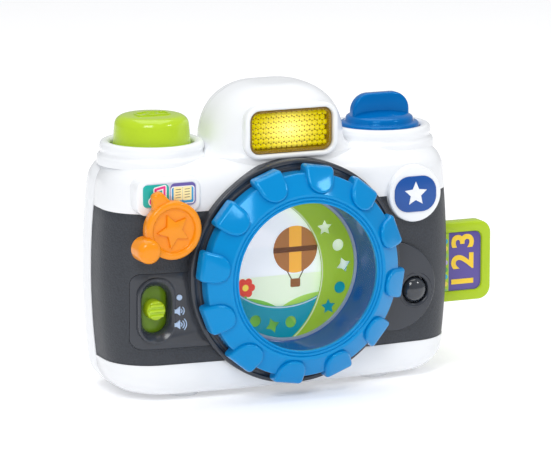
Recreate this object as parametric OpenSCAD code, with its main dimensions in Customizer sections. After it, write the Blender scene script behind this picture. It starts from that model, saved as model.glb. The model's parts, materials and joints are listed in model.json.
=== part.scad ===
// Toy camera, millimetres. X to the camera's right in the front view, the front faces -Y, Z up.
// The origin is on the table, midway between the four feet, below the lens axis.

/* [Body] */
// Overall width of the body at its widest
body_w = 181; // [176:1:188]
// Overall depth of the body on the centre line
body_d = 68; // [66:0.5:72]
// Height of the deck that carries the button and the dial
deck_z = 115.5; // [114:0.5:118]
// Wall thickness of both shells
wall = 3.2; // [2.8:0.1:3.4]
// Distance of the parting plane behind the middle of the body
split_y = 3; // [2.6:0.1:3.2]
// Radius of the bulging side walls
side_bulge_r = 340; // [280:10:500]
// Radius of the crowned front and back
front_bulge_r = 1000; // [900:50:1400]
// Corner radius in the plan view
plan_corner_r = 22; // [18:0.5:24]
// Lower corner radius in the front view
low_corner_r = 14; // [10:0.5:16]
// Upper corner radius in the front view
high_corner_r = 12; // [10:0.5:14]
// Edge radius between the deck and the front or back
deck_edge_r = 13; // [10:0.5:14]
// Edge radius between the underside and the front or back
base_edge_r = 12; // [9:0.5:13]

/* [Hump] */
// Rise of the viewfinder hump above the deck
hump_rise = 33.5; // [31:0.5:36]
// Width of the hump above its foot
hump_w = 72; // [69:0.5:76]
// Distance of the hump's front from the middle of the body
hump_front = 30; // [29:0.1:31]
// Distance of the hump's back from the middle of the body
hump_back = 17; // [16:0.5:20]
// Radius of the hump's shoulders in the front view
hump_shoulder_r = 26; // [22:0.5:28]
// Radius of the hollow where the hump meets the deck
hump_foot_r = 7; // [4:0.5:9]
// Edge radius between the hump's top and its front
hump_edge_r = 9; // [6:0.5:9]

/* [Grips] */
// Height of the grips' lower edge
grip_low_z = 19; // [17:0.5:21]
// Height of the grips' upper edge
grip_high_z = 92.5; // [92:0.1:93]
// Thickness of the inlaid grips
grip_t = 1.6; // [1.2:0.1:1.8]

/* [Lens] */
// Height of the lens axis
lens_z = 60.2; // [59:0.2:61]
// Outer radius of the dark mount
mount_r = 54.5; // [54:0.1:55]
// How far the mount stands proud of the front
mount_proud = 3; // [2.6:0.1:4]
// Radius of the blue ring between its knobs
ring_r = 49.5; // [49:0.1:50]
// Length of the blue ring in front of the mount
ring_depth = 13.7; // [12.5:0.1:15]
// Radius of the opening in the ring's front
aperture_r = 35.7; // [34.5:0.1:36.2]
// Radius of the clear barrel
barrel_r = 40.9; // [40.6:0.1:41.1]
// Length of the clear barrel
barrel_len = 20.2; // [19.6:0.1:21]
// Number of knobs on the ring
knob_count = 12; // [8:1:12]
// Width of one knob
knob_w = 13; // [11:0.5:14]
// Radius that the knobs reach
knob_r = 53; // [52.4:0.1:53.6]

/* [Shutter button] */
// Distance of the button and the dial from the centre line
control_x = 59.7; // [58.5:0.1:60.5]
// Radius of the button's cap
button_r = 19.6; // [19:0.1:20]
// Rise of the button's top above the deck
button_rise = 19.4; // [18.5:0.1:21]
// Travel of the button
button_travel = 4; // [3:0.1:4.2]
// Outer radius of the white collars
collar_r = 24.8; // [24.6:0.1:25.6]
// Rise of the collars' tops above the deck
collar_rise = 7.1; // [6.6:0.1:8]

/* [Winder dial] */
// Radius of the dial's rim
dial_r = 19.5; // [19:0.1:19.6]
// Length of the finger fin
fin_len = 31.4; // [28:0.2:33]
// Thickness of the finger fin
fin_t = 5.6; // [4.5:0.1:6.5]
// Rise of the fin's top above the deck
fin_rise = 22.2; // [19.6:0.1:23.4]

/* [Flash] */
// Width of the flash window
flash_w = 42.8; // [40:0.2:44]
// Height of the flash window
flash_h = 21; // [19.5:0.1:21.4]
// Rise of the window's centre above the deck
flash_rise = 12; // [11.6:0.1:12.4]

/* [Mode lever] */
// Distance of the lever's pivot to the left of the centre line
lever_x = 64.6; // [64:0.1:65]
// Height of the lever's pivot
lever_z = 86; // [85.5:0.1:86.5]
// Radius of the lever's disc
lever_r = 14; // [13.4:0.1:14.4]
// Length of the pointer from the pivot
pointer_len = 19.7; // [18.5:0.1:20.5]
// Direction of the pointer at rest
pointer_deg = 114; // [110:1:118]
// Radius of the finger peg
peg_r = 5; // [4.5:0.1:5.4]

/* [Volume knob] */
// Distance of the knob to the left of the centre line
volume_x = 69.6; // [69.4:0.1:69.8]
// Height of the knob in the middle of its travel
volume_z = 45.8; // [45.2:0.1:46.4]
// Radius of the knob
volume_r = 4.7; // [4.4:0.1:5]
// Travel to each side of the middle
volume_travel = 6.4; // [5.5:0.1:6.6]

/* [Dome button] */
// Distance of the dome button to the right of the centre line
dome_x = 64.2; // [63.6:0.1:64.8]
// Height of the dome button
dome_z = 45.1; // [44:0.1:46]
// Radius of the dome button
dome_r = 6; // [5.6:0.1:6.3]
// Travel of the dome button
dome_travel = 1.8; // [1.2:0.1:1.9]

/* [Photo slide] */
// How far the slide's end stands out of the side
slide_out = 32.4; // [29.6:0.1:33.4]
// Height of the slide's lower edge
slide_low_z = 28.5; // [27.5:0.1:30]
// Height of the slide tray
slide_h = 40; // [38:0.2:41]
// Thickness of the slide tray
slide_t = 8; // [7.4:0.1:8.4]
// How far the slide pushes in
slide_travel = 28; // [26:0.5:28.4]

/* [Feet] */
// Height of the feet
foot_h = 3; // [2.5:0.1:3.5]
// Radius of the feet
foot_r = 8; // [7:0.1:8.6]
// Distance of the feet from the centre line
foot_x = 50; // [46:0.5:54]
// Distance of the feet from the middle of the depth
foot_y = 13; // [12:0.1:13.4]

/* [Battery bay] */
// Radius of one cell
cell_r = 5.25; // [5:0.05:5.3]
// Length of one cell
cell_len = 44.5; // [43:0.1:44.8]

/* [Hidden] */
$fn = 64;
// Facets of the wide bulges and of the low caps in the preview
bulge_fn = 720;
cap_fn = 180;

// Overrun of every cut, the seat, slip and running clearances, and the gap between moving faces
over = 1;
seat_gap = 0.1;
run_gap = 0.05;
slip_gap = 0.3;
move_gap = 0.4;

// Body
half_w = body_w / 2;
half_d = body_d / 2;
base_z = foot_h;
bulge_mid_z = (base_z + deck_z) / 2;
body_len = 2 * body_w;
hump_low_z = deck_z - deck_edge_r - wall;
hump_d = hump_front + hump_back;
hump_mid_y = (hump_back - hump_front) / 2;

// Heights that follow the deck
hump_top_z = deck_z + hump_rise;
button_top_z = deck_z + button_rise;
collar_top_z = deck_z + collar_rise;
fin_top_z = deck_z + fin_rise;
flash_z = deck_z + flash_rise;
lip_drop = 2.5;
lip_low_z = deck_z - lip_drop;
skirt_drop = 11.5;
skirt_low_z = deck_z - skirt_drop;
dial_rim_rise = 7.9;
dial_rim_z = deck_z + dial_rim_rise;
dial_step_h = 1.6;
dial_step_z = dial_rim_z + dial_step_h;

// Lens stack, as distances in front of the middle of the body
mount_t = half_d + mount_proud;
ring_gap = 0.5;
ring_back_t = mount_t + ring_gap;
ring_front_t = ring_back_t + ring_depth;
lip_t = 2.2;
window_t = 1.8;
mask_t = 1.2;
retainer_t = 2;
window_front_t = ring_front_t - lip_t;
window_back_t = window_front_t - window_t;
barrel_back_t = window_back_t - barrel_len;
mask_back_t = barrel_back_t - mask_t;
retainer_back_t = mask_back_t - retainer_t;
barrel_wall = 2.3;
ring_bore_r = barrel_r + seat_gap;
ring_wall = 2.45;
sleeve_r = ring_bore_r + ring_wall;
mount_bore_r = sleeve_r + run_gap;
mount_wall = 2.5;
mount_sleeve_r = mount_bore_r + mount_wall;
mount_groove_r = 52.6;
mount_groove = 0.8;
retainer_hold = 1.5;
retainer_r = mount_sleeve_r + retainer_hold;
retainer_bore_r = barrel_r - barrel_wall + move_gap;
rim_r = 40;
rim_drop = 5.7;
groove_rs = [36.9, 38.5];
groove_w = 0.7;
groove_deep = 0.5;
knob_reach_r = 41;
knob_lift = 0.8;
knob_crest = 0.5;
knob_drop = 4.7;
knob_turn_deg = -9;
knob_back = 0.7;
knob_root = 1.5;

// Mask: a round sheet with a wide lens-shaped opening and small holes
mask_rim = 3.2;
mask_open_r = 30;
mask_open_x = -7;
mask_open_y = 8;
mask_hole_r = 2.6;
mask_hole_ring_r = 31;
mask_hole_degs = [-72, -44, -16, 12, 40];

// Picture and its carrier
disc_r = 38.5;
disc_t = 0.8;
disc_gap = 0.4;
disc_front_t = retainer_back_t - disc_gap;
carrier_front_t = disc_front_t - disc_t;
carrier_t = 2;
carrier_r = 46;
carrier_back_t = carrier_front_t - carrier_t;
carrier_post_r = 4;
carrier_lug_r = 6;
carrier_post_out = 6;
carrier_post_at = mount_sleeve_r + carrier_post_out;
carrier_degs = [45, 135, 225, 315];
standoff_t = 3;
standoff_r = 3.5;
standoff_at = 30;
standoff_degs = [45, 135, 225, 315];
board_front_t = carrier_back_t - standoff_t;
board_t = 1.6;
board_back_t = board_front_t - board_t;

// Screws
screw_r = 1.5;
screw_head_r = 3;
screw_head_h = 2;
screw_bite = 6;
screw_slack = 0.2;

// Main board
board_left_x = 75.5;
board_right_x = 70;
board_low_z = 24;
board_high_z = 92;
board_corner_r = 3;
chip_r = 8;
chip_h = 1.6;
chip_x = 0;
chip_z = 74;
switch_w = 6;
switch_h = 3.5;
switch_stem_r = 1.7;
switch_stem_h = 1;

// Shells
post_r = 3.5;
low_post_in = 14.5;
low_post_up = 11;
high_post_in = 10.5;
high_post_up = 1.5;
hump_post_in = 7.5;
hump_post_down = 3.5;
case_points = [
    [half_w - low_post_in, base_z + low_post_up],
    [half_w - high_post_in, grip_high_z + high_post_up],
    [hump_w / 2 - hump_post_in, flash_z - hump_post_down]
];
head_seat_y = 9;
rear_post_r = 4.4;
case_screw_len = 24;
badge_x = 63;
badge_z = 93;
badge_r = 13.8;
badge_t = 35.2;
badge_insert_w = 22;
badge_insert_h = 17.5;
badge_insert_t = 0.6;
plate_left_x = 80.6;
plate_right_x = 48.2;
plate_low_z = grip_high_z;
plate_high_z = 109.5;
plate_r = 4;
plate_t = 34.2;
label_w = 27;
label_h = 11.6;
label_x = 64.1;
label_z = 102;
label_r = 2.5;
label_t = 0.3;

// Lever, as distances in front of the middle of the body
lever_boss_r = 9;
lever_boss_t = 34.6;
lever_back_t = lever_boss_t + move_gap;
lever_t = 7;
lever_front_t = lever_back_t + lever_t;
lever_dish_r = 10.8;
lever_dish = 1.8;
star_r = 7.5;
star_waist_share = 0.5;
star_h = 1.2;
pointer_t = 4.5;
pointer_tip_r = 2.2;
pointer_root_share = 0.6;
peg_at = 16;
peg_deg = 212;
peg_pad_r = 6;
peg_pad_t = 5;
peg_t = 8.5;
peg_dome = 2.5;
arm_back_t = lever_back_t + 2 * slip_gap;
shaft_r = 4;
shaft_end_r = 3;
clip_r = 7;
clip_t = 1.5;
clip_front_t = 27.4;
inner_boss_t = clip_front_t + slip_gap;
inner_boss_r = 8;
lever_head_r = 5.5;

// Volume knob, as distances in front of the middle of the body
slot_w = 13.2;
slot_rim_w = 17.6;
slot_rim_h = 30;
slot_rim_deep = 0.8;
slot_h = 2 * (volume_r + volume_travel) + seat_gap;
shell_slot_w = 15;
volume_front_t = 31.8;
carriage_front_t = 26.9;
carriage_t = 2;
carriage_w = 17;
carriage_h = slot_h + 2 * volume_travel + 2 * move_gap;
rail_w = 2;
rail_t = 25;
rail_h = carriage_h + 2 * volume_travel + 2 * rail_w;
volume_groove_count = 4;
volume_groove_w = 0.7;
volume_groove_deep = 0.5;
volume_switch_w = 8;
volume_switch_h = 20;
volume_switch_t = 5;

// Dome button, as distances in front of the middle of the body
dome_disc_x = 53;
dome_disc_z = 47.5;
dome_disc_r = 21.8;
dome_disc_t = 33.4;
dome_groove_r = 7.6;
dome_groove_deep = 1.6;
dome_side_t = 33.2;
dome_cap = 2;
dome_flange_r = 8;
dome_flange_front_t = 27.6;
dome_flange_t = 1.6;
dome_plunger_r = 2.5;
dome_plunger_len = 1.7;
dome_spring_r = 5.5;
dome_spring_turns = 4;

// Coil springs
spring_wire_r = 0.5;
ring_steps = 8;
ring_sides = 6;

// Collars, button and dial
collar_tube_r = 3.8;
collar_lip = 3;
lip_bore_r = button_r + slip_gap;
skirt_r = 23.5;
skirt_wall = 2;
button_fillet_r = 7;
button_wall = 2.4;
button_roof = 3.4;
button_flange_r = skirt_r - skirt_wall - slip_gap;
button_flange_h = 2.5;
button_flange_top_z = lip_low_z - slip_gap;
button_low_z = button_flange_top_z - button_flange_h;
plunger_r = 4;
plunger_low_z = skirt_low_z + switch_h + switch_stem_h + button_travel + move_gap;
plate_h = 2;
button_spring_r = 7;
button_spring_turns = 7;
emblem_h = 0.8;
emblem_w = 17;
emblem_d = 11;
emblem_r = 2;
emblem_lens_r = 3.6;
emblem_line = 1.4;
dial_floor_h = 3;
dial_floor_low_z = lip_low_z - dial_floor_h;
dial_low_z = lip_low_z + move_gap;
dial_step_r = 16.5;
dial_dome_h = 3.5;
fin_corner_r = 10;
dial_shaft_r = 5;
ratchet_r = 11;
ratchet_teeth = 12;
ratchet_h = 4;
ratchet_bite_r = 1.4;
ratchet_top_z = dial_floor_low_z - move_gap;
ratchet_low_z = ratchet_top_z - ratchet_h;
click_w = 4;
click_leaf_t = 0.8;
dial_head_r = 7;

// Flash
flash_lip_w = 2.6;
flash_lip_t = 1.6;
flash_corner_r = 5;
flash_proud = 0.6;
flash_flange = 2;
flash_flange_t = 1.8;
flash_peg_r = 2;
flash_peg_x = 19;
flash_peg_len = 4;
flash_board_w = 44;
flash_board_h = 16;
lamp_r = 2.5;
lamp_len = 2.4;

// Photo slide
slide_inset = 0.5;
slide_front_y = split_y + slide_inset;
slide_corner_r = 6.5;
slide_len = 60.9;
slide_end_x = half_w + slide_out;
slide_in_x = slide_end_x - slide_len;
slide_rim = 5;
slide_dish = 1.6;
card_t = 0.6;
card_w = 21;
heel_in = 10.5;
heel_x = half_w - heel_in;
heel_w = 3;
heel_h = 1.4;
pocket_wall = 2;
pocket_mouth_in = 6.5;
pocket_mouth_x = half_w - pocket_mouth_in;
pocket_end_x = slide_in_x - slide_travel - over - pocket_wall;
pocket_lug_in = 4;
pocket_lug_x = slide_in_x - pocket_lug_in;
pocket_lug_r = 4.5;
pocket_lug_t = 3;

// Speaker
speaker_x = -52;
speaker_z = 62;
speaker_r = 20;
speaker_seat_y = 26.6;
speaker_flange_t = 1.5;
speaker_seat_w = 2.5;
basket_h = 9;
basket_low_r = 11;
magnet_r = 10.5;
magnet_h = 6;
cone_r = 16;
cone_dome_r = 6;
cone_t = 0.8;
grille_hole_r = 1.4;
grille_pitch = 5;
grille_rings = [1, 6, 12];

// Battery bay
cell_gap = 2;
bay_wall = 1.5;
bay_end = 3.2;
bay_low_z = 25;
bay_floor_y = 15;
bay_w = cell_len + 2 * (bay_end + bay_wall);
bay_h = 4 * cell_r + cell_gap + 2 * (bay_wall + over);
bay_mid_z = bay_low_z + bay_h / 2;
cell_y = bay_floor_y + bay_wall + cell_r + slip_gap;
cell_nub_r = 1.8;
cell_nub_len = 1;
contact_t = 0.5;
contact_r = 2.5;
door_ledge = 3;
door_ledge_t = 1.2;
door_tab = 9;
door_w = bay_w - 2 * bay_wall;
door_low_z = bay_low_z + bay_wall - door_tab;
door_high_z = bay_low_z + bay_h - bay_wall;
door_seat_y = half_d - wall + door_ledge_t;
door_back_y = door_seat_y + seat_gap;
door_screw_up = 4;
door_screw_z = door_low_z + door_screw_up;
door_screw_r = 1.3;
door_head_r = 2.6;
door_head_h = 1.2;
door_screw_len = 8;
door_boss_r = 3.4;
door_corner_r = 3;
// The door is flat, so it lies flush with the crowned back at its own side edges
door_face_y = half_d - door_w * door_w / (8 * front_bulge_r);
door_h = door_high_z - door_low_z;
door_mid_z = (door_low_z + door_high_z) / 2;

// Wires
wire_r = 0.6;
wire_pitch = 6;

foot_edge_r = 1.2;

// Shares the frame of the front face: x right, y up, z towards the viewer.
module facing(x, z) {
    translate([x, 0, z]) rotate([90, 0, 0]) children();
}

// A straight cylinder from one height of its axis to another.
module rod(r, from, to) {
    translate([0, 0, from]) cylinder(r = r, h = to - from);
}

module ring_tube(r_out, r_in, from, to) {
    difference() {
        rod(r_out, from, to);
        rod(r_in, from - over, to + over);
    }
}

// A low spherical cap on a round base.
module cap(r, rise, at) {
    ball_r = (r * r + rise * rise) / (2 * rise);
    intersection() {
        translate([0, 0, at + rise - ball_r]) sphere(r = ball_r, $fn = cap_fn);
        rod(r, at - over / 2, at + rise);
    }
}

module rounded(w, h, r) {
    square([w - 2 * r, h], center = true);
    square([w, h - 2 * r], center = true);
    for (sx = [-1, 1], sy = [-1, 1])
        translate([sx * (w / 2 - r), sy * (h / 2 - r)]) circle(r = r);
}

module slab(w, h, r, from, to) {
    translate([0, 0, from]) linear_extrude(height = to - from) rounded(w, h, r);
}

module stadium(w, h, from, to) {
    translate([0, 0, from]) linear_extrude(height = to - from) {
        square([w, h - w], center = true);
        for (sy = [-1, 1]) translate([0, sy * (h - w) / 2]) circle(r = w / 2);
    }
}

module screw(shank_r, head_r, head_h, len) {
    rod(shank_r, -len, 0);
    rod(head_r, 0, head_h);
}

// One unbroken coil of round wire, squared to its ends by its own pitch.
module coil(mean_r, from, to, turns) {
    count = turns * ring_steps;
    low = from + spring_wire_r;
    high = to - spring_wire_r;
    points = [
        for (i = [0:count], j = [0:ring_sides - 1])
            let (
                turn = 360 * i / ring_steps,
                side = 360 * j / ring_sides,
                at = mean_r + spring_wire_r * cos(side),
                rise = low + (high - low) * i / count + spring_wire_r * sin(side)
            )
            [at * cos(turn), at * sin(turn), rise]
    ];
    walls = [
        for (i = [0:count - 1], j = [0:ring_sides - 1])
            let (
                a = i * ring_sides + j,
                b = i * ring_sides + (j + 1) % ring_sides,
                c = a + ring_sides,
                d = b + ring_sides
            )
            each [[a, c, b], [b, c, d]]
    ];
    first = [for (j = [1:ring_sides - 2]) [0, j, j + 1]];
    end = count * ring_sides;
    last = [for (j = [1:ring_sides - 2]) [end, end + j + 1, end + j]];
    polyhedron(points = points, faces = concat(walls, first, last));
}

// A round-cornered outline between two heights, with its own lower and upper radii.
module soft_outline(half, low, high, low_r, high_r) {
    mid = (low + high) / 2;
    translate([-half, low + low_r]) square([2 * half, high - high_r - low - low_r]);
    translate([low_r - half, low]) square([2 * (half - low_r), mid - low]);
    translate([high_r - half, mid]) square([2 * (half - high_r), high - mid]);
    for (s = [-1, 1]) {
        translate([s * (half - low_r), low + low_r]) circle(r = low_r);
        translate([s * (half - high_r), high - high_r]) circle(r = high_r);
    }
}

// The body's outer form, or with an inset the form inside its wall.
module body_form(inset = 0) {
    intersection() {
        facing(0, 0) linear_extrude(height = body_len, center = true) intersection() {
            soft_outline(half_w - inset, base_z + inset, deck_z - inset, low_corner_r - inset,
                high_corner_r - inset);
            intersection_for (side = [-1, 1])
                translate([side * (half_w - side_bulge_r), bulge_mid_z])
                    circle(r = side_bulge_r - inset, $fn = bulge_fn);
        }
        linear_extrude(height = body_len) intersection() {
            rounded(body_w - 2 * inset, body_d - 2 * inset, plan_corner_r - inset);
            intersection_for (side = [-1, 1])
                translate([0, side * (half_d - front_bulge_r)])
                    circle(r = front_bulge_r - inset, $fn = bulge_fn);
        }
        rotate([90, 0, 90]) linear_extrude(height = body_len, center = true)
            soft_outline(half_d - inset, base_z + inset, deck_z - inset, base_edge_r - inset,
                deck_edge_r - inset);
    }
}

module hump_outline(inset) {
    half = hump_w / 2 - inset;
    foot_r = hump_foot_r + inset;
    translate([-half, hump_low_z]) square([2 * half, hump_top_z - hump_shoulder_r - hump_low_z]);
    translate([hump_shoulder_r - inset - half, hump_low_z])
        square([2 * (half - hump_shoulder_r + inset), hump_top_z - inset - hump_low_z]);
    for (s = [-1, 1])
        translate([s * (half - hump_shoulder_r + inset), hump_top_z - hump_shoulder_r])
            circle(r = hump_shoulder_r - inset);
    difference() {
        translate([-half - foot_r, hump_low_z])
            square([2 * (half + foot_r), deck_z - inset + foot_r - hump_low_z]);
        for (s = [-1, 1])
            translate([s * (half + foot_r), deck_z - inset + foot_r]) circle(r = foot_r);
    }
}

module hump_form(inset = 0) {
    intersection() {
        facing(0, 0) linear_extrude(height = body_len, center = true) hump_outline(inset);
        rotate([90, 0, 90]) linear_extrude(height = body_len, center = true)
            translate([hump_mid_y, 0])
                soft_outline(hump_d / 2 - inset, hump_low_z, hump_top_z - inset, hump_edge_r - inset,
                    hump_edge_r - inset);
    }
}

// Everything on one side of the parting plane.
module half_space(front) {
    translate([-body_len / 2, front ? split_y - body_len : split_y, -over])
        cube([body_len, body_len, body_len]);
}

module shell_half(front) {
    difference() {
        intersection() {
            union() {
                body_form();
                hump_form();
            }
            half_space(front);
        }
        body_form(wall);
        hump_form(wall);
    }
}

// Space outside one grip's floor in the front half, with the lens mount left out.
module grip_space(side, gap = 0) {
    difference() {
        translate([side > 0 ? 0 : -body_len, split_y - body_len, grip_low_z - gap])
            cube([body_len, body_len, grip_high_z - grip_low_z + 2 * gap]);
        body_form(grip_t + gap);
        facing(0, lens_z) rod(mount_r + seat_gap - gap, 0, mount_t);
    }
}

module grip_form(side) {
    intersection() {
        body_form();
        grip_space(side);
    }
}

module case_places() {
    for (p = case_points, s = [-1, 1]) translate([s * p[0], 0, p[1]]) children();
}

// Places on a circle round the lens axis.
module round_lens(at, degs) {
    facing(0, lens_z)
        for (a = degs) translate([at * cos(a), at * sin(a), 0]) children();
}

module flash_place() {
    facing(0, flash_z) children();
}

module front_shell() {
    hump_t = hump_front;
    color("white") difference() {
        union() {
            difference() {
                shell_half(true);
                for (side = [-1, 1]) grip_space(side, seat_gap / 2);
            }
            // Badge boss, label plate and lever boss
            facing(badge_x, badge_z) rod(badge_r, half_d - wall - wall / 2, badge_t);
            facing(-(plate_left_x + plate_right_x) / 2, (plate_low_z + plate_high_z) / 2)
                slab(plate_left_x - plate_right_x, plate_high_z - plate_low_z, plate_r,
                    half_d - wall - wall / 2, plate_t);
            facing(-lever_x, lever_z) rod(lever_boss_r, half_d - wall - wall / 2, lever_boss_t);
            facing(-lever_x, lever_z) rod(inner_boss_r, inner_boss_t, half_d - wall);
            // Lip round the flash, clear of the lens mount
            difference() {
                flash_place() slab(flash_w + 2 * flash_lip_w, flash_h + 2 * flash_lip_w,
                    flash_corner_r + flash_lip_w, hump_t - wall / 2, hump_t + flash_lip_t);
                facing(0, lens_z) rod(mount_r + seat_gap, 0, mount_t);
            }
            // Posts for the case screws
            intersection() {
                case_places() rotate([90, 0, 0]) rod(post_r, -split_y, half_d);
                union() {
                    body_form(wall / 2);
                    hump_form(wall / 2);
                }
            }
            // Posts of the picture carrier and rails of the volume carriage
            intersection() {
                union() {
                    round_lens(carrier_post_at, carrier_degs)
                        rod(carrier_post_r, carrier_front_t, half_d);
                    for (s = [-1, 1])
                        facing(-volume_x + s * (carriage_w / 2 + slip_gap + rail_w / 2), volume_z)
                            translate([-rail_w / 2, -rail_h / 2, rail_t])
                                cube([rail_w, rail_h, half_d - rail_t]);
                }
                body_form((wall + grip_t) / 2);
            }
        }
        facing(0, lens_z) rod(mount_sleeve_r + run_gap, 0, mount_t);
        facing(-lever_x, lever_z) rod(shaft_r + run_gap, 0, mount_t);
        // Room for the lever's clip beside the posts and the side wall
        facing(-lever_x, lever_z) rod(clip_r + slip_gap, 0, clip_front_t + slip_gap / 2);
        facing(-volume_x, volume_z) stadium(shell_slot_w, slot_h + shell_slot_w - slot_w, 0, mount_t);
        facing(dome_x, dome_z) rod(dome_r + slip_gap, 0, mount_t);
        flash_place() slab(flash_w + 2 * seat_gap, flash_h + 2 * seat_gap, flash_corner_r, 0, mount_t);
        case_places() rotate([90, 0, 0])
            rod(screw_r, -split_y - over, case_screw_len - head_seat_y + over);
        round_lens(carrier_post_at, carrier_degs)
            rod(screw_r, carrier_front_t - over, carrier_front_t + screw_bite);
        control_place(-1) rod(skirt_r + run_gap, skirt_low_z, collar_top_z);
        control_place(1) rod(skirt_r + run_gap, skirt_low_z, collar_top_z);
    }
}

module control_place(side) {
    translate([side * control_x, 0, 0]) children();
}

module rear_shell() {
    back_y = half_d - wall / 2;
    color("white") difference() {
        union() {
            shell_half(false);
            intersection() {
                case_places() rotate([-90, 0, 0]) rod(rear_post_r, split_y, half_d);
                union() {
                    body_form(wall / 2);
                    hump_form(wall / 2);
                }
            }
            // Speaker seat, posts of the slide pocket and the door's screw boss
            translate([speaker_x, 0, speaker_z]) rotate([-90, 0, 0])
                ring_tube(speaker_r, speaker_r - speaker_seat_w, speaker_seat_y, back_y - wall / 2);
            pocket_lugs() rod(pocket_lug_r, -back_y + wall, -pocket_back_y);
            translate([0, 0, door_screw_z]) rotate([-90, 0, 0])
                rod(door_boss_r, half_d - door_screw_len - wall, half_d - wall);
        }
        // Slot of the photo slide, open at the parting plane
        translate([pocket_mouth_x - over, split_y - over, slide_low_z - slip_gap])
            cube([half_w, slide_front_y + slide_t + slip_gap - split_y + over, slide_h + 2 * slip_gap]);
        case_places() rotate([-90, 0, 0]) {
            rod(screw_r + screw_slack, split_y - over, half_d);
            rod(screw_head_r + screw_slack, head_seat_y, half_d);
        }
        grille_holes();
        // Battery opening with a ledge for the door
        translate([-door_w / 2 + door_ledge, 0, door_low_z + door_tab + door_ledge])
            cube([door_w - 2 * door_ledge, half_d + over, door_h - door_tab - 2 * door_ledge]);
        facing(0, door_mid_z) slab(door_w, door_h, door_corner_r, -half_d - over, -door_seat_y);
        translate([0, 0, door_screw_z]) rotate([-90, 0, 0])
            rod(door_screw_r + run_gap, half_d - door_screw_len - wall - over, half_d);
        pocket_lugs() rod(screw_r, -pocket_back_y - screw_bite, -pocket_back_y + over);
        for (side = [-1, 1]) control_place(side) rod(skirt_r + run_gap, skirt_low_z, collar_top_z);
    }
}

module grille_holes() {
    translate([speaker_x, 0, speaker_z]) rotate([-90, 0, 0])
        for (i = [0:len(grille_rings) - 1], j = [0:grille_rings[i] - 1])
            rotate(360 * j / grille_rings[i])
                translate([i * grille_pitch, 0, 0]) rod(grille_hole_r, half_d - 2 * wall, half_d + over);
}

module left_grip() {
    color("dimgray") difference() {
        grip_form(-1);
        facing(-volume_x, volume_z) stadium(slot_w, slot_h, 0, mount_t);
        facing(-volume_x, volume_z)
            stadium(slot_rim_w, slot_rim_h, volume_front_t - slot_rim_deep, mount_t);
        facing(-lever_x, lever_z) rod(lever_boss_r + seat_gap, 0, mount_t);
    }
}

module right_grip() {
    color("dimgray") difference() {
        union() {
            grip_form(1);
            difference() {
                facing(dome_disc_x, dome_disc_z) rod(dome_disc_r, half_d - wall, dome_disc_t);
                facing(0, lens_z) rod(mount_r + seat_gap, 0, mount_t);
                body_form(grip_t);
            }
        }
        facing(badge_x, badge_z) rod(badge_r + seat_gap, 0, mount_t);
        facing(dome_x, dome_z) rod(dome_r + slip_gap, 0, mount_t);
        facing(dome_x, dome_z) rod(dome_groove_r, dome_disc_t - dome_groove_deep, mount_t);
    }
}

module lens_mount() {
    color("dimgray") difference() {
        union() {
            difference() {
                facing(0, lens_z) rod(mount_r, hump_front - over, mount_t);
                body_form();
                hump_form();
            }
            facing(0, lens_z) rod(mount_sleeve_r, mask_back_t + slip_gap, mount_t);
        }
        facing(0, lens_z) rod(mount_bore_r, 0, mount_t + over);
        facing(0, lens_z)
            ring_tube(mount_groove_r, mount_groove_r - mount_groove, mount_t - mount_groove, mount_t + over);
    }
}

// The knobs: a revolved band cut into tongues with round inner ends.
module ring_knobs() {
    front_t = ring_front_t + knob_lift;
    intersection() {
        rotate_extrude() polygon([
            [knob_reach_r - knob_crest, ring_front_t - knob_root],
            [knob_reach_r - knob_crest, front_t],
            [knob_reach_r + knob_crest, front_t],
            [knob_r, ring_front_t - knob_drop],
            [knob_r, ring_back_t + knob_back],
            [ring_r - ring_wall, ring_back_t + knob_back],
            [ring_r - ring_wall, ring_front_t - rim_drop - ring_wall]
        ]);
        for (i = [0:knob_count - 1])
            rotate(knob_turn_deg + 360 * i / knob_count) {
                translate([knob_reach_r + knob_w / 2, -knob_w / 2, ring_back_t])
                    cube([knob_w, knob_w, ring_depth + knob_root]);
                translate([knob_reach_r + knob_w / 2, 0, 0])
                    rod(knob_w / 2, ring_back_t, ring_front_t + knob_root);
            }
    }
}

module lens_ring() {
    color("dodgerblue") facing(0, lens_z) difference() {
        union() {
            rotate_extrude() polygon([
                [ring_bore_r, mask_back_t],
                [ring_bore_r, window_front_t],
                [aperture_r, window_front_t],
                [aperture_r, ring_front_t],
                [rim_r, ring_front_t],
                [ring_r, ring_front_t - rim_drop],
                [ring_r, ring_back_t],
                [sleeve_r, ring_back_t],
                [sleeve_r, mask_back_t]
            ]);
            ring_knobs();
        }
        for (r = groove_rs)
            ring_tube(r, r - groove_w, ring_front_t - groove_deep, ring_front_t + knob_root);
    }
}

module lens_window() {
    color("lightcyan", 0.5) facing(0, lens_z) rod(barrel_r, window_back_t, window_front_t);
}

module lens_barrel() {
    color("slategray", 0.5) facing(0, lens_z)
        ring_tube(barrel_r, barrel_r - barrel_wall, barrel_back_t, window_back_t);
}

module peep_mask() {
    color("yellowgreen") facing(0, lens_z) difference() {
        rod(barrel_r, mask_back_t, barrel_back_t);
        intersection() {
            translate([mask_open_x, mask_open_y, 0]) rod(mask_open_r, 0, mount_t);
            rod(barrel_r - mask_rim, 0, mount_t);
        }
        for (a = mask_hole_degs)
            translate([mask_hole_ring_r * cos(a), mask_hole_ring_r * sin(a), 0])
                rod(mask_hole_r, 0, mount_t);
    }
}

module lens_retainer() {
    color("gray") facing(0, lens_z) ring_tube(retainer_r, retainer_bore_r, retainer_back_t, mask_back_t);
}

module scene_disc() {
    color("white") facing(0, lens_z) rod(disc_r, carrier_front_t, disc_front_t);
}

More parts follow.
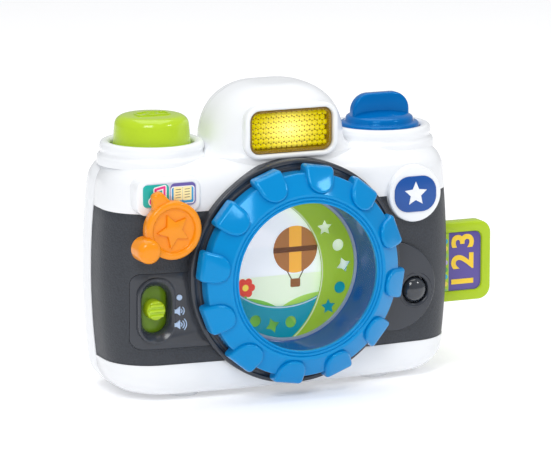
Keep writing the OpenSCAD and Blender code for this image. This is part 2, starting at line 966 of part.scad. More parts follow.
module scene_carrier() {
    color("whitesmoke") difference() {
        union() {
            facing(0, lens_z) rod(carrier_r, carrier_back_t, carrier_front_t);
            round_lens(carrier_post_at, carrier_degs) rod(carrier_lug_r, carrier_back_t, carrier_front_t);
            round_lens(standoff_at, standoff_degs) rod(standoff_r, board_front_t, carrier_front_t);
        }
        round_lens(carrier_post_at, carrier_degs) rod(screw_r + screw_slack, 0, mount_t);
        round_lens(standoff_at, standoff_degs)
            rod(screw_r, board_front_t - over, carrier_front_t - carrier_t / 2);
    }
}

module carrier_screws() {
    color("silver") round_lens(carrier_post_at, carrier_degs)
        translate([0, 0, carrier_back_t]) rotate([180, 0, 0])
            screw(screw_r, screw_head_r, screw_head_h, carrier_t + screw_bite - over);
}

// What a collar stands on: the deck and the foot of the hump.
module deck_form() {
    body_form();
    hump_form();
}

// White collar: a rounded ring that follows the deck, with a skirt through it.
module collar(bore_r) {
    ring_mid_r = collar_r - collar_tube_r;
    ring_mid_z = collar_top_z - collar_tube_r;
    difference() {
        union() {
            difference() {
                rotate_extrude() {
                    translate([ring_mid_r, ring_mid_z]) circle(r = collar_tube_r);
                    translate([0, lip_low_z]) square([ring_mid_r, collar_top_z - lip_low_z]);
                    translate([0, lip_low_z]) square([collar_r - collar_lip / 2, ring_mid_z - lip_low_z]);
                }
                children();
            }
            rod(skirt_r, skirt_low_z, ring_mid_z);
        }
        rod(bore_r, lip_low_z - over, collar_top_z + over);
        rod(skirt_r - skirt_wall, skirt_low_z - over, lip_low_z);
    }
}

module button_bezel() {
    color("white") control_place(-1) collar(lip_bore_r) control_place(1) deck_form();
}

module dial_bezel() {
    color("white") control_place(1) {
        collar(dial_r + slip_gap) control_place(-1) deck_form();
        ring_tube(skirt_r - skirt_wall / 2, dial_shaft_r + run_gap, dial_floor_low_z, lip_low_z);
    }
}

module shutter_button() {
    side_z = button_top_z - button_fillet_r;
    color("yellowgreen") control_place(-1) {
        rotate_extrude() difference() {
            union() {
                translate([0, button_low_z]) square([button_r, side_z - button_low_z]);
                translate([0, button_low_z])
                    square([button_r - button_fillet_r, button_top_z - button_low_z]);
                translate([button_r - button_fillet_r, side_z]) circle(r = button_fillet_r);
                translate([0, button_low_z]) square([button_flange_r, button_flange_h]);
            }
            translate([-over, button_low_z - over])
                square([button_r - button_wall + over, button_top_z - button_roof - button_low_z + over]);
            translate([-button_fillet_r, button_low_z]) square([button_fillet_r, button_top_z]);
        }
        rod(plunger_r, plunger_low_z, button_top_z - button_roof / 2);
        emblem();
    }
}

// Raised pictogram of a camera on the button's top.
module emblem() {
    translate([0, 0, button_top_z - over]) linear_extrude(height = over + emblem_h) {
        difference() {
            rounded(emblem_w, emblem_d, emblem_r);
            rounded(emblem_w - 2 * emblem_line, emblem_d - 2 * emblem_line, emblem_r - emblem_line / 2);
        }
        difference() {
            circle(r = emblem_lens_r);
            circle(r = emblem_lens_r - emblem_line);
        }
    }
}

module button_spring() {
    color("silver") control_place(-1)
        coil(button_spring_r, skirt_low_z, button_top_z - button_roof, button_spring_turns);
}

module button_plate() {
    color("whitesmoke") control_place(-1) rod(skirt_r, skirt_low_z - plate_h, skirt_low_z);
}

// Press switch with its stem along +Z, standing on its own base.
module press_switch() {
    translate([-switch_w / 2, -switch_w / 2, 0]) cube([switch_w, switch_w, switch_h]);
    rod(switch_stem_r, switch_h, switch_h + switch_stem_h);
}

module shutter_switch() {
    color("black") control_place(-1) translate([0, 0, skirt_low_z]) press_switch();
}

module winder_dial() {
    fin_low_z = dial_rim_z;
    color("royalblue") control_place(1) difference() {
        union() {
            rod(dial_r, dial_low_z, dial_rim_z);
            rod(dial_step_r, dial_low_z, dial_step_z);
            cap(dial_step_r, dial_dome_h, dial_step_z);
            rod(dial_shaft_r, ratchet_low_z, dial_step_z);
            rotate([90, 0, 0]) linear_extrude(height = fin_t, center = true) {
                translate([-fin_len / 2, fin_low_z])
                    square([fin_len, fin_top_z - fin_corner_r - fin_low_z]);
                translate([fin_corner_r - fin_len / 2, fin_low_z])
                    square([fin_len - 2 * fin_corner_r, fin_top_z - fin_low_z]);
                for (s = [-1, 1])
                    translate([s * (fin_len / 2 - fin_corner_r), fin_top_z - fin_corner_r])
                        circle(r = fin_corner_r);
            }
        }
        rod(screw_r, ratchet_low_z - over, ratchet_low_z + screw_bite + ratchet_h);
    }
}

module dial_ratchet() {
    color("gainsboro") control_place(1) difference() {
        rod(ratchet_r, ratchet_low_z, ratchet_top_z);
        rod(dial_shaft_r, ratchet_low_z - over, ratchet_top_z + over);
        for (i = [0:ratchet_teeth - 1])
            rotate(360 * i / ratchet_teeth)
                translate([ratchet_r, 0, 0]) rod(ratchet_bite_r, ratchet_low_z - over, ratchet_top_z + over);
    }
}

module dial_click() {
    reach = skirt_r - skirt_wall - slip_gap;
    color("silver") control_place(1) {
        translate([reach - click_w, -click_w / 2, ratchet_low_z])
            cube([click_w - over, click_w, dial_floor_low_z - ratchet_low_z]);
        translate([ratchet_r + move_gap, -click_leaf_t / 2, ratchet_low_z])
            cube([reach - click_w / 2 - ratchet_r - move_gap, click_leaf_t, ratchet_h]);
    }
}

module dial_screw() {
    color("silver") control_place(1) translate([0, 0, ratchet_low_z]) rotate([180, 0, 0])
        screw(screw_r, dial_head_r, screw_head_h, screw_bite + ratchet_h - over);
}

module flash_window() {
    hump_t = hump_front;
    inner_t = hump_t - wall;
    color("gold", 0.7) flash_place() {
        slab(flash_w, flash_h, flash_corner_r, inner_t - over, hump_t + flash_proud);
        slab(flash_w + 2 * flash_flange, flash_h + 2 * flash_flange, flash_corner_r + flash_flange,
            inner_t - flash_flange_t, inner_t);
        for (s = [-1, 1])
            translate([s * flash_peg_x, 0, 0])
                rod(flash_peg_r, inner_t - flash_flange_t - flash_peg_len, inner_t);
    }
}

module flash_board() {
    front_t = hump_front - wall - flash_flange_t - flash_peg_len;
    color("seagreen") flash_place()
        slab(flash_board_w, flash_board_h, board_corner_r, front_t - board_t, front_t);
}

module flash_lamp() {
    base_t = hump_front - wall - flash_flange_t - flash_peg_len;
    color("ivory") flash_place() {
        rod(lamp_r, base_t, base_t + lamp_len - lamp_r / 2);
        cap(lamp_r, lamp_r / 2, base_t + lamp_len - lamp_r / 2);
    }
}

// Five-pointed star outline.
module star(r, waist_share) {
    polygon([for (i = [0:9]) (i % 2 == 0 ? r : r * waist_share) * [cos(90 + 36 * i), sin(90 + 36 * i)]]);
}

module mode_lever() {
    shaft_low_t = clip_front_t - clip_t;
    tip_at = pointer_len - pointer_tip_r;
    root_w = lever_r * pointer_root_share;
    color("orange") facing(-lever_x, lever_z) difference() {
        union() {
            difference() {
                rod(lever_r, lever_back_t, lever_front_t);
                rod(lever_dish_r, lever_front_t - lever_dish, lever_front_t + over);
            }
            translate([0, 0, lever_front_t - lever_dish - over])
                linear_extrude(height = star_h + over) star(star_r, star_waist_share);
            rotate(pointer_deg) translate([0, 0, arm_back_t]) linear_extrude(height = pointer_t) {
                polygon([[0, -root_w], [tip_at, -pointer_tip_r], [tip_at, pointer_tip_r], [0, root_w]]);
                translate([tip_at, 0]) circle(r = pointer_tip_r);
            }
            rotate(peg_deg) translate([peg_at, 0, 0]) {
                rod(peg_pad_r, arm_back_t, lever_back_t + peg_pad_t);
                rod(peg_r, lever_back_t + peg_pad_t / 2, lever_back_t + peg_t);
                cap(peg_r, peg_dome, lever_back_t + peg_t);
            }
            rod(shaft_r, clip_front_t, lever_back_t + over);
            rod(shaft_end_r, shaft_low_t, clip_front_t + over);
        }
        rod(screw_r, shaft_low_t - over, shaft_low_t + screw_bite);
    }
}

module lever_clip() {
    color("silver") facing(-lever_x, lever_z)
        ring_tube(clip_r, shaft_end_r, clip_front_t - clip_t, clip_front_t);
}

module lever_screw() {
    color("silver") facing(-lever_x, lever_z) translate([0, 0, clip_front_t - clip_t]) rotate([180, 0, 0])
        screw(screw_r, lever_head_r, screw_head_h, screw_bite - over);
}

module mode_switch() {
    color("black") facing(-lever_x, lever_z)
        translate([-switch_w / 2, -switch_w / 2, board_front_t]) cube([switch_w, switch_w, switch_h]);
}

module mode_label() {
    color("mediumslateblue") facing(-label_x, label_z)
        slab(label_w, label_h, label_r, plate_t, plate_t + label_t);
}

module volume_knob() {
    color("yellowgreen") facing(-volume_x, volume_z) difference() {
        rod(volume_r, carriage_front_t, volume_front_t);
        for (i = [0:volume_groove_count - 1])
            translate([-volume_r,
                2 * volume_r * ((i + 0.5) / volume_groove_count - 0.5) - volume_groove_w / 2,
                volume_front_t - volume_groove_deep])
                cube([2 * volume_r, volume_groove_w, over]);
    }
}

module volume_carriage() {
    color("black") facing(-volume_x, volume_z)
        translate([-carriage_w / 2, -carriage_h / 2, carriage_front_t - carriage_t])
            cube([carriage_w, carriage_h, carriage_t]);
}

module volume_switch() {
    color("black") facing(-volume_x, volume_z)
        translate([-volume_switch_w / 2, -volume_switch_h / 2, board_front_t])
            cube([volume_switch_w, volume_switch_h, volume_switch_t]);
}

module release_button() {
    flange_back_t = dome_flange_front_t - dome_flange_t;
    color("dimgray") facing(dome_x, dome_z) {
        rod(dome_r, flange_back_t, dome_side_t);
        cap(dome_r, dome_cap, dome_side_t);
        rod(dome_flange_r, flange_back_t, dome_flange_front_t);
        rod(dome_plunger_r, flange_back_t - dome_plunger_len, flange_back_t + over);
    }
}

module release_spring() {
    color("silver") facing(dome_x, dome_z)
        coil(dome_spring_r, board_front_t, dome_flange_front_t - dome_flange_t, dome_spring_turns);
}

module release_switch() {
    color("black") facing(dome_x, dome_z) translate([0, 0, board_front_t]) press_switch();
}

module badge_plate() {
    color("navy") facing(badge_x, badge_z)
        slab(badge_insert_w, badge_insert_h, badge_insert_h / 2 - over, badge_t, badge_t + badge_insert_t);
}

// The slide's own frame: x along its travel, y up, z towards the viewer.
module slide_slab(x0, x1, low, high, r, from_y, to_y) {
    facing((x0 + x1) / 2, (low + high) / 2) slab(x1 - x0, high - low, r, -to_y, -from_y);
}

slide_high_z = slide_low_z + slide_h;
slide_back_y = slide_front_y + slide_t;
card_right_x = slide_end_x - slide_rim;
card_left_x = card_right_x - card_w;
pocket_back_y = slide_back_y + slip_gap + pocket_wall;
pocket_front_y = slide_front_y - slip_gap - pocket_wall;

module photo_slide() {
    color("greenyellow") difference() {
        union() {
            slide_slab(slide_in_x, slide_end_x, slide_low_z, slide_high_z, slide_corner_r,
                slide_front_y, slide_back_y);
            translate([heel_x, slide_front_y, slide_low_z - heel_h])
                cube([heel_w, slide_t, slide_h + 2 * heel_h]);
        }
        slide_slab(card_left_x, card_right_x, slide_low_z + slide_rim, slide_high_z - slide_rim,
            slide_corner_r - slide_rim / 2, slide_front_y - over, slide_front_y + slide_dish);
    }
}

module slide_card() {
    floor_y = slide_front_y + slide_dish;
    color("rebeccapurple") slide_slab(card_left_x + seat_gap, card_right_x - seat_gap,
        slide_low_z + slide_rim + seat_gap, slide_high_z - slide_rim - seat_gap,
        slide_corner_r - slide_rim / 2, floor_y - card_t, floor_y);
}

// Fixing lugs above and below the slide pocket, looking forwards from behind it.
module pocket_lugs() {
    off = slide_h / 2 + heel_h + pocket_wall + screw_head_r + 2 * slip_gap;
    for (s = [-1, 1]) facing(pocket_lug_x, slide_low_z + slide_h / 2 + s * off) children();
}

module slide_pocket() {
    clear_z = heel_h + slip_gap;
    color("gray") difference() {
        union() {
            translate([pocket_end_x, pocket_front_y, slide_low_z - clear_z - pocket_wall])
                cube([pocket_mouth_x - pocket_end_x, pocket_back_y - pocket_front_y,
                    slide_h + 2 * (clear_z + pocket_wall)]);
            pocket_lugs() rod(pocket_lug_r, -pocket_back_y, pocket_lug_t - pocket_back_y);
        }
        translate([pocket_end_x + pocket_wall, slide_front_y - slip_gap, slide_low_z - clear_z])
            cube([pocket_mouth_x - pocket_end_x, slide_t + 2 * slip_gap, slide_h + 2 * clear_z]);
        pocket_lugs() rod(screw_r + screw_slack, -pocket_back_y - over, pocket_lug_t - pocket_back_y + over);
    }
}

module pocket_screws() {
    color("silver") pocket_lugs() translate([0, 0, pocket_lug_t - pocket_back_y])
        screw(screw_r, screw_head_r, screw_head_h, pocket_lug_t + screw_bite - over);
}

module main_board() {
    w = board_left_x + board_right_x;
    color("seagreen") difference() {
        facing((board_right_x - board_left_x) / 2, (board_low_z + board_high_z) / 2)
            slab(w, board_high_z - board_low_z, board_corner_r, board_back_t, board_front_t);
        round_lens(standoff_at, standoff_degs) rod(screw_r + screw_slack, 0, mount_t);
    }
}

module board_screws() {
    color("silver") round_lens(standoff_at, standoff_degs)
        translate([0, 0, board_back_t]) rotate([180, 0, 0])
            screw(screw_r, screw_head_r, screw_head_h, board_t + standoff_t);
}

module sound_chip() {
    color("black") facing(chip_x, chip_z) translate([0, 0, board_back_t]) rotate([180, 0, 0])
        intersection() {
            cap(chip_r, chip_h, 0);
            rod(chip_r, 0, chip_h);
        }
}

module speaker_basket() {
    flange_y = speaker_seat_y - speaker_flange_t;
    color("darkgray") translate([speaker_x, 0, speaker_z]) rotate([-90, 0, 0]) rotate_extrude() polygon([
        [0, flange_y - basket_h - magnet_h],
        [magnet_r, flange_y - basket_h - magnet_h],
        [magnet_r, flange_y - basket_h],
        [basket_low_r, flange_y - basket_h],
        [speaker_r - speaker_seat_w, flange_y],
        [speaker_r, flange_y],
        [speaker_r, speaker_seat_y],
        [cone_r + cone_t, speaker_seat_y],
        [cone_r + cone_t, flange_y],
        [basket_low_r - cone_t, flange_y - basket_h + cone_t],
        [0, flange_y - basket_h + cone_t]
    ]);
}

module speaker_cone() {
    flange_y = speaker_seat_y - speaker_flange_t;
    dust_y = flange_y - basket_h / 2;
    color("dimgray") translate([speaker_x, 0, speaker_z]) rotate([-90, 0, 0]) {
        rotate_extrude() polygon([
            [cone_dome_r, dust_y],
            [cone_r, flange_y],
            [cone_r + cone_t, flange_y],
            [cone_r + cone_t, speaker_seat_y],
            [cone_r, speaker_seat_y],
            [cone_dome_r, dust_y + cone_t],
            [0, dust_y + cone_t],
            [0, dust_y]
        ]);
    }
}

module battery_box() {
    color("whitesmoke") difference() {
        translate([-bay_w / 2, bay_floor_y, bay_low_z]) cube([bay_w, half_d - wall - bay_floor_y, bay_h]);
        translate([-bay_w / 2 + bay_wall, bay_floor_y + bay_wall, bay_low_z + bay_wall])
            cube([bay_w - 2 * bay_wall, half_d, bay_h - 2 * bay_wall]);
        body_form_shell();
    }
}

// The rear wall's own thickness, for trimming what seats against it.
module body_form_shell() {
    difference() {
        translate([-body_w, half_d - 2 * wall, -over]) cube([2 * body_w, body_d, deck_z]);
        body_form(wall);
    }
}

module cell(row, flip) {
    color("orangered")
        translate([0, cell_y, bay_mid_z + row * (cell_r + cell_gap / 2)]) rotate([0, flip * 90, 0]) {
            rod(cell_r, -cell_len / 2, cell_len / 2 - cell_nub_len);
            rod(cell_nub_r, 0, cell_len / 2);
        }
}

module battery_upper() {
    cell(1, 1);
}

module battery_lower() {
    cell(-1, -1);
}

module battery_contacts() {
    wall_x = bay_w / 2 - bay_wall;
    color("silver")
        for (sx = [-1, 1], sz = [-1, 1])
            translate([sx * wall_x, cell_y, bay_mid_z + sz * (cell_r + cell_gap / 2)])
                rotate([0, -sx * 90, 0]) {
                    translate([-cell_r / 2, -cell_r / 2, 0]) cube([cell_r, cell_r, contact_t]);
                    rod(contact_r, 0, wall_x - cell_len / 2 - run_gap);
                }
}

module battery_door() {
    gap = slip_gap;
    color("white") difference() {
        facing(0, door_mid_z)
            slab(door_w - 2 * gap, door_h - 2 * gap, door_corner_r - gap, -door_face_y, -door_back_y);
        translate([0, 0, door_screw_z]) rotate([-90, 0, 0]) {
            rod(door_screw_r + run_gap, 0, half_d);
            rod(door_head_r + run_gap, door_face_y - door_head_h, half_d + over);
        }
    }
}

module door_screw() {
    color("silver") translate([0, door_face_y - door_head_h, door_screw_z]) rotate([-90, 0, 0])
        screw(door_screw_r, door_head_r, door_head_h - seat_gap, door_screw_len);
}

module case_screws() {
    color("silver") case_places() translate([0, head_seat_y, 0]) rotate([-90, 0, 0])
        screw(screw_r, screw_head_r, screw_head_h, case_screw_len);
}

module feet() {
    color("white")
        for (sx = [-1, 1], sy = [-1, 1])
            translate([sx * foot_x, sy * foot_y, 0]) rotate_extrude() {
                square([foot_r - foot_edge_r, foot_h]);
                translate([0, foot_edge_r]) square([foot_r, foot_h - foot_edge_r]);
                translate([foot_r - foot_edge_r, foot_edge_r]) circle(r = foot_edge_r);
            }
}

module hookup_wires() {
    magnet_y = speaker_seat_y - speaker_flange_t - basket_h - magnet_h;
    color("crimson") {
        for (s = [-1, 1]) {
            facing(speaker_x + s * wire_pitch / 2, speaker_z) rod(wire_r, -magnet_y, board_back_t);
            facing(s * (bay_w / 2 - 2 * wire_pitch), bay_mid_z) rod(wire_r, -bay_floor_y, board_back_t);
            translate([s * wire_pitch / 2, -board_front_t - wire_r, 0])
                rod(wire_r, board_high_z - wire_pitch, flash_z);
            control_place(-1) translate([s * wire_pitch / 2, wire_r - board_back_t, 0])
                rod(wire_r, board_high_z - wire_pitch, skirt_low_z - plate_h);
        }
    }
}

front_shell();
rear_shell();
left_grip();
right_grip();
lens_mount();
lens_ring();
lens_window();
lens_barrel();
peep_mask();
lens_retainer();
scene_disc();
scene_carrier();
carrier_screws();
button_bezel();
shutter_button();
button_spring();
button_plate();
shutter_switch();
dial_bezel();
winder_dial();
dial_ratchet();
dial_click();
dial_screw();
flash_window();
flash_board();
flash_lamp();
mode_lever();
lever_clip();
lever_screw();
mode_switch();
mode_label();
volume_knob();
volume_carriage();
volume_switch();
release_button();
release_spring();
release_switch();
badge_plate();
photo_slide();
slide_card();
slide_pocket();
pocket_screws();
main_board();
board_screws();
sound_chip();
speaker_basket();
speaker_cone();
battery_box();
battery_upper();
battery_lower();
battery_contacts();
battery_door();
door_screw();
case_screws();
feet();
hookup_wires();
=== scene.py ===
"""Toy camera: the finished look, modelled piece by piece on the CAD frame."""
import json
import logging
import math
from collections.abc import Iterable, Sequence
from dataclasses import dataclass, replace
from enum import Enum, IntEnum
from functools import reduce

import bpy
from mathutils import Color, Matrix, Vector


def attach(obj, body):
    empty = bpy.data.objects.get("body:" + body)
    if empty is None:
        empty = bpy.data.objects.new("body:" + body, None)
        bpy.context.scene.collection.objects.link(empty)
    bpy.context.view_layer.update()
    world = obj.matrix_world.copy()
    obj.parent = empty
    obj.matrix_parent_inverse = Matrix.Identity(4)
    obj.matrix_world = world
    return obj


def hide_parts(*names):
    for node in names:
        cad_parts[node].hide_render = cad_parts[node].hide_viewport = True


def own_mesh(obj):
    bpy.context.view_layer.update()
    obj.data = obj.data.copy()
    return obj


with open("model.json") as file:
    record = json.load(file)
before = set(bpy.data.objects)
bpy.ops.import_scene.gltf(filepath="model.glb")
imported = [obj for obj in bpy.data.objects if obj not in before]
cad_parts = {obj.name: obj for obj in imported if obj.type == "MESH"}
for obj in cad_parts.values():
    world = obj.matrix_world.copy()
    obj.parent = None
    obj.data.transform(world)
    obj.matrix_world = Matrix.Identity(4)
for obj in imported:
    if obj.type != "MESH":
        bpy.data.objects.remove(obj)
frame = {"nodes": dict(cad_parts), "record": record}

LOG = logging.getLogger("toy_camera")
MM = 0.001
SCREEN_MAX = 255
SIDE_SHARE = 0.499
DOME_STEPS = 9
REACH = 150.0
FRONT_CUT = (10.0, 60.0)
Point = tuple[float, float]
Span = tuple[float, float]
Corner = tuple[float, float, float]
Colour = tuple[float, float, float]
Profile = tuple[Corner, ...]
Object = bpy.types.Object
Tree = bpy.types.NodeTree


def srgb(red: int, green: int, blue: int) -> Colour:
    """Turns screen values from 0 to 255 into linear light from 0 to 1."""
    return tuple(Color([value / SCREEN_MAX for value in (red, green, blue)]).from_srgb_to_scene_linear())


def polar(radius: float, angle: float) -> Point:
    """The point at a radius and an angle in radians."""
    return radius * math.cos(angle), radius * math.sin(angle)


def quarter(steps: int) -> list[float]:
    """The angles of a quarter turn in radians, from 0 up."""
    return [math.radians(90 * k / steps) for k in range(steps + 1)]


def rounded(corners: Sequence[Corner], closed: bool = True, steps: int = 6) -> list[Point]:
    """Rounds the corners of a line.

    Args:
        corners: points with the radius of each, in mm.
        closed: whether the last point joins the first.
        steps: segments of each rounding.
    Returns:
        The points of the rounded line.
    """
    points: list[Point] = []
    for i, (x, y, radius) in enumerate(corners):
        if radius <= 0 or (not closed and i in (0, len(corners) - 1)):
            points.append((x, y))
            continue
        here = Vector((x, y))
        back = Vector(corners[i - 1][:2]) - here
        ahead = Vector(corners[(i + 1) % len(corners)][:2]) - here
        half = back.angle(ahead) / 2
        reach = min(radius / math.tan(half), SIDE_SHARE * back.length, SIDE_SHARE * ahead.length)
        back.normalize()
        ahead.normalize()
        centre = here + (back + ahead).normalized() * reach / math.cos(half)
        first = here + back * reach - centre
        last = here + ahead * reach - centre
        start = math.atan2(first.y, first.x)
        sweep = (math.atan2(last.y, last.x) - start + math.pi) % math.tau - math.pi
        for k in range(steps + 1):
            dx, dy = polar(first.length, start + sweep * k / steps)
            points.append((centre.x + dx, centre.y + dy))
    return points


def rectangle(width: float, height: float, radius: float, steps: int = 8) -> list[Point]:
    """Outline of a rounded rectangle about the origin.

    Args:
        width, height, radius: sizes in mm.
        steps: segments of each corner.
    Returns:
        The outline's points.
    """
    w, h = width / 2, height / 2
    return rounded([(-w, -h, radius), (w, -h, radius), (w, h, radius), (-w, h, radius)], True, steps)


def ring_points(radius: float, count: int, turn: float = 0.0, inner: float = 0.0) -> list[Point]:
    """Points round a circle; with an inner radius, the outline of a star.

    Args:
        radius: outer radius in mm.
        count: number of outer points.
        turn: degrees that the first point is turned by.
        inner: radius of the points between, or 0 for none.
    Returns:
        The points in order.
    """
    radii = (radius, inner) if inner else (radius,)
    total = count * len(radii)
    start = math.radians(turn)
    return [polar(radii[i % len(radii)], start + math.tau * i / total) for i in range(total)]


def dome_line(radius: float, low: float, rise: float) -> list[Corner]:
    """Profile of a flat dome from its foot to just short of its top."""
    return [(radius * math.cos(a), low + rise * math.sin(a), 0.0) for a in quarter(DOME_STEPS)[:-1]]


class Facing(Enum):
    """Which way a piece's own z axis points, as Euler angles."""

    UP = (0.0, 0.0, 0.0)
    FRONT = (math.pi / 2, 0.0, 0.0)
    BACK = (-math.pi / 2, 0.0, 0.0)


class Cut(Enum):
    """How one solid works on another."""

    TAKE = "DIFFERENCE"
    ADD = "UNION"
    SHARE = "INTERSECT"


class Body(Enum):
    """The CAD bodies that pieces move with."""

    CAMERA = "camera_body"
    LENS = "lens"
    SHUTTER = "shutter"
    WINDER = "winder"
    LEVER = "lever"
    VOLUME = "volume"
    RELEASE = "release"
    SLIDE = "slide"
    DOOR = "door"


class Sides(IntEnum):
    """How many segments a round shape has, by its kind."""

    DOT = 24
    HOLE = 32
    PEG = 48
    KNOB = 64
    ROD = 72
    DISC = 96
    DIAL = 128
    RING = 144


@dataclass(frozen=True)
class Edge:
    """How sharp edges are bevelled: width in mm, steps, and the least angle in degrees."""

    width: float
    steps: int = 3
    angle: float = 40.0


@dataclass(frozen=True)
class Layout:
    """Places that several assemblies share. A spot is x and z on the camera's front."""

    split_y: float = 3.0
    control_x: float = 59.7
    door_z: float = 34.5
    lens: Point = (0.0, 60.2)
    flash: Point = (0.0, 127.5)
    plate: Point = (-64.4, 101.0)
    label: Point = (-64.1, 102.0)
    lever: Point = (-64.6, 86.0)
    badge: Point = (63.0, 93.0)
    knob: Point = (-69.6, 45.8)
    dome: Point = (64.2, 45.1)
    card: Point = (107.4, 48.5)
    lime_bite: Corner = (-22.7, -3.0, 40.0)
    teal_bite: Corner = (-1.7, 21.0, 40.0)


SPOT = Layout()


class Bench:
    """Modelling steps done with Blender's own operators. Sizes are in mm."""

    DOUBLES = 0.002 * MM
    OVERRUN = 10.0

    @staticmethod
    def pick(*objects: Object) -> None:
        """Selects only some objects, in object mode.

        Args:
            objects: what to select; the first becomes the active one.
        """
        layer = bpy.context.view_layer
        if layer.objects.active and layer.objects.active.mode != "OBJECT":
            bpy.ops.object.mode_set(mode="OBJECT")
        bpy.ops.object.select_all(action="DESELECT")
        for obj in objects:
            obj.select_set(True)
        layer.objects.active = objects[0] if objects else None

    @staticmethod
    def name(obj: Object, name: str) -> Object:
        """Names a piece and its mesh alike."""
        obj.name = obj.data.name = name
        return obj

    @staticmethod
    def drop(obj: Object) -> None:
        """Deletes a piece that is used up."""
        Bench.pick(obj)
        bpy.ops.object.delete()

    @staticmethod
    def edit(obj: Object) -> None:
        """Opens one piece for editing, with everything in it selected.

        Args:
            obj: the piece.
        """
        Bench.pick(obj)
        bpy.ops.object.mode_set(mode="EDIT")
        bpy.ops.mesh.select_all(action="SELECT")

    @staticmethod
    def close(obj: Object) -> Object:
        """Merges doubles, turns the normals outward and leaves edit mode.

        Args:
            obj: the piece that is open.
        Returns:
            The same piece.
        """
        bpy.ops.mesh.select_all(action="SELECT")
        bpy.ops.mesh.remove_doubles(threshold=Bench.DOUBLES)
        bpy.ops.mesh.normals_make_consistent(inside=False)
        bpy.ops.object.mode_set(mode="OBJECT")
        return obj

    @staticmethod
    def draw(name: str, points: Sequence[Sequence[float]], fill: bool) -> Object:
        """Draws a line by extruding one vertex from point to point.

        Args:
            name: the piece's name.
            points: places of the vertices.
            fill: whether to close the line with a face.
        Returns:
            The piece, still open for editing.
        """
        Bench.pick()
        bpy.ops.mesh.primitive_plane_add(size=MM)
        obj = Bench.name(bpy.context.object, name)
        bpy.ops.object.mode_set(mode="EDIT")
        bpy.ops.mesh.select_all(action="SELECT")
        bpy.ops.mesh.merge(type="CENTER")
        places = [Vector(p) * MM for p in points]
        bpy.ops.transform.translate(value=places[0])
        for here, there in zip(places, places[1:]):
            bpy.ops.mesh.extrude_vertices_move(TRANSFORM_OT_translate={"value": there - here})
        bpy.ops.mesh.select_all(action="SELECT")
        if fill:
            bpy.ops.mesh.edge_face_add()
        return obj

    @staticmethod
    def raise_face(height: float) -> None:
        """Extrudes the selected face upward."""
        bpy.ops.mesh.extrude_region_move(TRANSFORM_OT_translate={"value": (0, 0, height * MM)})

    @staticmethod
    def lathe(
        name: str, corners: Sequence[Corner], closed: bool = False, steps: int = Sides.DISC, fine: int = 5
    ) -> Object:
        """Turns a rounded profile about the z axis.

        Args:
            name: the piece's name.
            corners: radius, height and rounding of each profile point.
            closed: whether the profile is a closed ring.
            steps: segments of the turn.
            fine: segments of each rounding.
        Returns:
            The turned solid.
        """
        line = rounded(corners, closed, fine)
        line += line[:1] if closed else []
        obj = Bench.draw(name, [(r, 0.0, z) for r, z in line], False)
        bpy.ops.mesh.spin(steps=steps, angle=math.tau, center=(0, 0, 0), axis=(0, 0, 1))
        return Bench.close(obj)

    @staticmethod
    def prism(name: str, outline: Sequence[Point], low: float, high: float) -> Object:
        """Extrudes an outline from one height to another.

        Args:
            name: the piece's name.
            outline: the outline's points.
            low, high: heights of its two faces.
        Returns:
            The closed solid.
        """
        obj = Bench.draw(name, [(x, y, low) for x, y in outline], True)
        Bench.raise_face(high - low)
        return Bench.close(obj)

    @staticmethod
    def loft(name: str, outline: Sequence[Point], levels: Sequence[Corner]) -> Object:
        """Extrudes an outline upward and resizes it at every level.

        Args:
            name: the piece's name.
            outline: the outline at full size.
            levels: height, x share and y share of each level, from the bottom.
        Returns:
            The closed solid.
        """
        z, sx, sy = levels[0]
        obj = Bench.draw(name, [(x * sx, y * sy, z) for x, y in outline], True)
        for (z0, x0, y0), (z1, x1, y1) in zip(levels, levels[1:]):
            Bench.raise_face(z1 - z0)
            bpy.ops.transform.resize(value=(x1 / x0, y1 / y0, 1), center_override=(0, 0, z1 * MM))
        return Bench.close(obj)

    @staticmethod
    def block(name: str, low: Corner, high: Corner) -> Object:
        """A plain box between two corners, for cutting with."""
        (x0, y0, z0), (x1, y1, z1) = low, high
        return Bench.prism(name, [(x0, y0), (x1, y0), (x1, y1), (x0, y1)], z0, z1)

    @staticmethod
    def pad(name: str, size: Corner, span: Span, edge: Edge | None = None) -> Object:
        """A flat pad with a rounded outline.

        Args:
            name: the piece's name.
            size: width, height and corner radius.
            span: heights of its two faces.
            edge: how its edges are bevelled, if they are.
        Returns:
            The pad about the origin.
        """
        obj = Bench.prism(name, rectangle(*size), *span)
        return Bench.soften(obj, edge) if edge else obj

    @staticmethod
    def tray(name: str, outer: Corner, span: Span, inner: Corner, floor: float, edge: Edge) -> Object:
        """A soft pad with an opening in it.

        Args:
            name: the piece's name.
            outer, inner: width, height and corner radius of the pad and of its opening.
            span: heights of its two faces.
            floor: height that the opening starts at, below the pad for a frame.
            edge: how its edges are bevelled.
        Returns:
            The tray or frame about the origin.
        """
        obj = Bench.pad(name, outer, span)
        Bench.work(obj, Bench.pad("opening", inner, (floor, span[1] + Bench.OVERRUN)))
        return Bench.soften(obj, edge)

    @staticmethod
    def rod(radius: float, span: Span, at: Sequence[float], facing: Facing) -> Object:
        """A round bar, for cutting with or as a post."""
        return Bench.place(Bench.prism("rod", ring_points(radius, Sides.ROD), *span), at, facing)

    @staticmethod
    def bore(obj: Object, radius: float, spot: Point) -> Object:
        """Drills a hole through the front of a piece."""
        return Bench.work(obj, Bench.rod(radius, FRONT_CUT, (spot[0], 0, spot[1]), Facing.FRONT))

